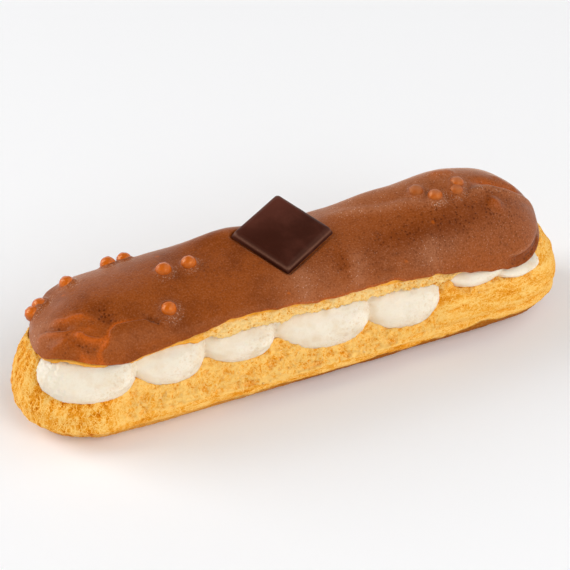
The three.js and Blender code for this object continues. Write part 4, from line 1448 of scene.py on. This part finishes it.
class BUN_OT_pearls(bpy.types.Operator):
    """Crisp pearls set in the glaze"""

    bl_idname = "bun.pearls"
    bl_label = "Pearls"

    seed: IntProperty(name="Seed", description="Seed of the lumps of each pearl", default=5)

    def execute(self, context):
        form = BunForm(context.scene)
        spots = list(form.pearl_places())
        piece = dots("crisp_pearls", [centre for centre, _, _ in spots],
                     cover=[cover for _, cover, _ in spots])
        material = self.material(context.scene.bun_glaze)
        recipe = Recipe("Pearls", Material=material, Radius=form.glaze.pearl, Seed=self.seed)
        ball = recipe.wire("GeometryNodeMeshIcoSphere", None,
                           {"Radius": recipe.given("Radius") * MM, "Subdivisions": PEARL_STEPS})
        turn = recipe.random(NO_TURN, FULL_TURN)
        size = recipe.random(0.88, 0.98) * (1 - recipe.attribute("cover").step(BURIED, 0.85) * 0.5)
        balls = recipe.copies(recipe.geometry(), ball, turn, size)
        real = recipe.wire("GeometryNodeRealizeInstances", None, {"Geometry": balls})
        at = recipe.position_mm()
        # Which way each point of a pearl faces, for its painted shade and highlight.
        real = recipe.keep(real, "up", recipe.wire("GeometryNodeInputNormal").part(2))
        lump = (recipe.noise(at, 0.55) - 0.5) * 0.3 + (recipe.noise(at, 1.7) - 0.5) * 0.16
        recipe.finish(recipe.push(real, lump))
        recipe.bake(piece)
        settle(piece, "milk_chocolate", "chocolate_glaze")
        return {"FINISHED"}

    def material(self, look):
        material, graph = new_material("caramel pearls")
        place = object_mm(graph)
        cover, up = layer(graph, "cover"), layer(graph, "up")
        cloud = graph.noise(place, 0.8, 3.0, 0.6)
        fine = graph.noise(place, 3.5, 3.0, 0.6)
        right = place.part(0).step(14.0, 26.0)
        return dress(material, {
            "Base Color": graph.coats(look.caramel,
                                      (cloud.step(0.4, 0.65) * 0.4, look.thin),
                                      (cover.step(0.1, 0.6) * 0.75, look.chocolate),
                                      (fine.step(0.5, 0.35) * 0.5, look.thin),
                                      (right * (0.1 + cloud * 0.3), look.dark),
                                      # Painted shade on the side of each pearl that faces down.
                                      (up.step(0.65, -0.1) * (0.4 + right * 0.35), look.dark),
                                      # Painted highlight on the top of each pearl, with a pale film on the
                                      # right ones.
                                      (up.step(0.6, 0.98) * (0.12 + right * 0.38), look.frost)),
            "Roughness": 0.08 + cloud * 0.12 + cover * 0.3 + right * 0.18,
            "Normal": bump(graph, fine, 0.3, 0.15),
            "Specular IOR Level": 0.65,
            "Specular Tint": srgb(255, 214, 160),
        })


class BUN_OT_plaque(bpy.types.Operator):
    """Dark chocolate plaque: a square with a thin lip, sloping sides, a rounded shoulder and a full face"""

    bl_idname = "bun.plaque"
    bl_label = "Plaque"

    def execute(self, context):
        look = context.scene.bun_plaque
        size = in_mm(look)
        piece = new_piece("dark_plaque", bpy.data.meshes.new("dark_plaque"))
        recipe = Recipe("Plaque", Material=self.material(look), Side=size.side, Thickness=size.thickness,
                        Corner=size.corner, Lip=size.lip, Slope=size.slope, Shoulder=size.shoulder,
                        From=size.shoulder_from, Pillow=size.pillow)
        block = recipe.wire("GeometryNodeMeshCube", None,
                            {"Size": (1.0, 1.0, 1.0), "Vertices X": PLAQUE_STEPS[0],
                             "Vertices Y": PLAQUE_STEPS[1], "Vertices Z": PLAQUE_STEPS[2]})
        unit = recipe.wire("GeometryNodeInputPosition")
        share = unit.part(2) + 0.5
        thickness, start = recipe.given("Thickness"), recipe.given("From")
        height = share * thickness
        under = (1 - height / recipe.given("Lip")).most(0.0) * 0.3
        rise = ((height - start) / (thickness - start)).most(0.0)
        inset = under + recipe.given("Slope") * share + recipe.given("Shoulder") * rise ** 3.0
        half = recipe.given("Side") * 0.5 - inset
        corner = recipe.given("Corner") + inset * 0.6

        def crowded(u):
            """Places across the plaque, closer together towards its sides."""
            return u.sign() * (1 - (1 - abs(u) * 2.0).most(0.0) ** 1.7) * half

        x, y = crowded(unit.part(0)), crowded(unit.part(1))
        over_x = (abs(x) - (half - corner)).most(0.0)
        over_y = (abs(y) - (half - corner)).most(0.0)
        reach = over_x.most(over_y) / (over_x * over_x + over_y * over_y + 1e-6) ** 0.5
        new_x = x.sign() * (abs(x) - over_x + over_x * reach)
        new_y = y.sign() * (abs(y) - over_y + over_y * reach)
        full_x, full_y = (1 - (abs(u) / half) ** 2.0 for u in (x, y))
        face = recipe.given("Pillow") * full_x * full_y * (share > 0.99)
        spot = recipe.vector(new_x, new_y, height + face) * MM

        def line(at, spread):
            """A line round the sides at a share of the height."""
            return (1 - abs(share - at) / spread).most(0.0)

        # Where the painted highlights run: along the shoulder and the lip.
        block = recipe.keep(block, "crest", line(0.62, 0.22) + line(0.12, 0.06) * 0.5)
        shaped = recipe.move(block, spot)
        dent = recipe.noise(recipe.position_mm(), 0.22) - 0.5
        recipe.finish(recipe.push(shaped, dent * 0.12))
        recipe.bake(piece)
        piece.data.transform(plaque_matrix(look))
        settle(piece, "dark_chocolate", "chocolate_plaque")
        return {"FINISHED"}

    def material(self, look):
        material, graph = new_material("dark chocolate")
        place = object_mm(graph)
        cloud = graph.noise(place, 0.16, 4.0, 0.6)
        fine = graph.noise(place, 2.5, 3.0, 0.6)
        # Painted sheen that grows towards the far side of the face.
        far = place.part(1).step(1.0, 13.0)
        return dress(material, {
            "Base Color": graph.coats(look.face,
                                      (cloud.step(0.45, 0.75) * 0.25 + far * 0.6, look.bloom_and_sheen),
                                      (fine.step(0.6, 0.8) * 0.2, look.bloom_and_sheen),
                                      # Painted highlights along the shoulder and the lip.
                                      (layer(graph, "crest") * (0.1 + fine * 0.6), look.crest)),
            "Roughness": 0.4 + cloud * 0.12,
            "Normal": bump(graph, fine, 0.15, 0.08),
            "Specular IOR Level": 0.26,
            "Specular Tint": srgb(255, 210, 180),
        })


class BUN_OT_crumbs(bpy.types.Operator):
    """Loose crumbs on the torn crust"""

    bl_idname = "bun.crumbs"
    bl_label = "Crumbs"

    seed: IntProperty(name="Seed", description="Seed of the crumbs' places", default=8)
    density: number_setting("Density", 90000.0, "Crumbs on each square metre of torn crust")

    def execute(self, context):
        base = bpy.data.objects["bun_base"]
        piece = new_piece("loose_crumbs", base.data.copy())
        material = bpy.data.materials["choux crumb"]
        recipe = Recipe("Crumbs", Material=material, Density=self.density, Seed=self.seed)
        torn, gain = recipe.attribute("torn"), recipe.attribute("gain")
        density = torn * (gain > 0.9) * recipe.given("Density")
        points = recipe.wire("GeometryNodeDistributePointsOnFaces", {"distribute_method": "RANDOM"},
                             {"Mesh": recipe.geometry(), "Density": density, "Seed": recipe.given("Seed")})
        lump = recipe.ball(CRUMB_STEPS, CRUMB_RADIUS * MM)
        at = recipe.position_mm()
        ragged = recipe.push(lump, (recipe.noise(at, 3.0, 2.0, 0.6) - 0.5) * 0.5)
        turn = recipe.random(NO_TURN, FULL_TURN)
        size = recipe.random((0.5, 0.4, 0.3), (1.5, 1.0, 0.8))
        recipe.finish(recipe.copies(points, ragged, turn, size))
        recipe.bake(piece)
        settle(piece, "choux_crumb")
        return {"FINISHED"}


class BUN_OT_stage(bpy.types.Operator):
    """Pale floor, soft light and the camera"""

    bl_idname = "bun.stage"
    bl_label = "Stage"

    def execute(self, context):
        scene = context.scene
        look = scene.bun_stage
        self.floor(look)
        self.sky(scene, look)
        for name, spot, size in LAMPS:
            self.lamp(name, Vector(spot), size, getattr(look, name))
        self.camera(scene, look)
        scene.view_settings.view_transform = "Standard"
        return {"FINISHED"}

    def floor(self, look):
        mesh = bpy.data.meshes.new("pale_floor")
        body = bmesh.new()
        bmesh.ops.create_grid(body, x_segments=8, y_segments=8, size=FLOOR_HALF)
        body.to_mesh(mesh)
        body.free()
        floor = new_piece("pale_floor", mesh)
        material, graph = new_material("pale floor")
        cloud = graph.noise(object_mm(graph), 0.004)
        mesh.materials.append(dress(material, {
            "Base Color": graph.blend(cloud * 0.1, look.floor, srgb(228, 228, 230)),
            "Roughness": 0.9,
            "Specular IOR Level": 0.1,
        }))

    def sky(self, scene, look):
        world = bpy.data.worlds.new("soft sky")
        world.use_nodes = True
        graph = Graph(world.node_tree)
        height = graph.wire("ShaderNodeTexCoord", None, None, "Generated").part(2)
        light = world.node_tree.nodes["Background"]
        light.inputs["Color"].default_value = (1.0, 1.0, 1.0, 1.0)
        graph.feed(light.inputs["Strength"], look.sky + (look.zenith - look.sky) * height.step(0.3, 0.65))
        scene.world = world

    def aim(self, thing, spot, direction):
        thing.location = spot
        thing.rotation_euler = direction.to_track_quat("-Z", "Y").to_euler()
        bpy.context.scene.collection.objects.link(thing)

    def lamp(self, name, spot, size, watts):
        light = bpy.data.lights.new(name, "AREA")
        light.size = size
        light.energy = watts
        self.aim(bpy.data.objects.new(name, light), spot, Vector(LAMP_AIM) - spot)

    def camera(self, scene, look):
        back = Vector((math.sin(look.azimuth) * math.cos(look.elevation),
                       -math.cos(look.azimuth) * math.cos(look.elevation), math.sin(look.elevation)))
        lens = bpy.data.cameras.new("camera")
        lens.sensor_width = SENSOR_WIDTH
        lens.lens = look.lens
        lens.clip_start = 0.01
        camera = bpy.data.objects.new("camera", lens)
        self.aim(camera, Vector(look.target) + back * look.distance, -back)
        scene.camera = camera


class BUN_PT_panel(bpy.types.Panel):
    """The bun's pieces and settings"""

    bl_idname = "BUN_PT_panel"
    bl_label = "Filled choux bun"
    bl_space_type = "VIEW_3D"
    bl_region_type = "UI"
    bl_category = "Choux bun"

    def draw(self, context):
        for name, group in SETTINGS.items():
            box = self.layout.box()
            box.label(text=group.__doc__)
            settings = getattr(context.scene, name)
            for field in group.__annotations__:
                box.prop(settings, field)
        for operator in OPERATORS:
            self.layout.operator(operator.bl_idname)


SETTINGS = {
    "bun_base": BaseSettings,
    "bun_lid": LidSettings,
    "bun_cream": CreamSettings,
    "bun_glaze": GlazeSettings,
    "bun_plaque": PlaqueSettings,
    "bun_stage": StageSettings,
}
OPERATORS = [BUN_OT_base, BUN_OT_lid, BUN_OT_cream, BUN_OT_glaze, BUN_OT_pearls, BUN_OT_plaque,
             BUN_OT_crumbs, BUN_OT_stage]
CLASSES = [*SETTINGS.values(), *OPERATORS, BUN_PT_panel]


def register():
    for item in CLASSES:
        bpy.utils.register_class(item)
    for name, group in SETTINGS.items():
        setattr(bpy.types.Scene, name, PointerProperty(type=group))


def unregister():
    for name in SETTINGS:
        delattr(bpy.types.Scene, name)
    for item in reversed(CLASSES):
        bpy.utils.unregister_class(item)


def main():
    register()
    bpy.ops.bun.base()
    bpy.ops.bun.lid()
    bpy.ops.bun.cream()
    bpy.ops.bun.glaze()
    bpy.ops.bun.pearls()
    bpy.ops.bun.plaque()
    bpy.ops.bun.crumbs()
    bpy.ops.bun.stage()


if __name__ == "__main__":
    main()
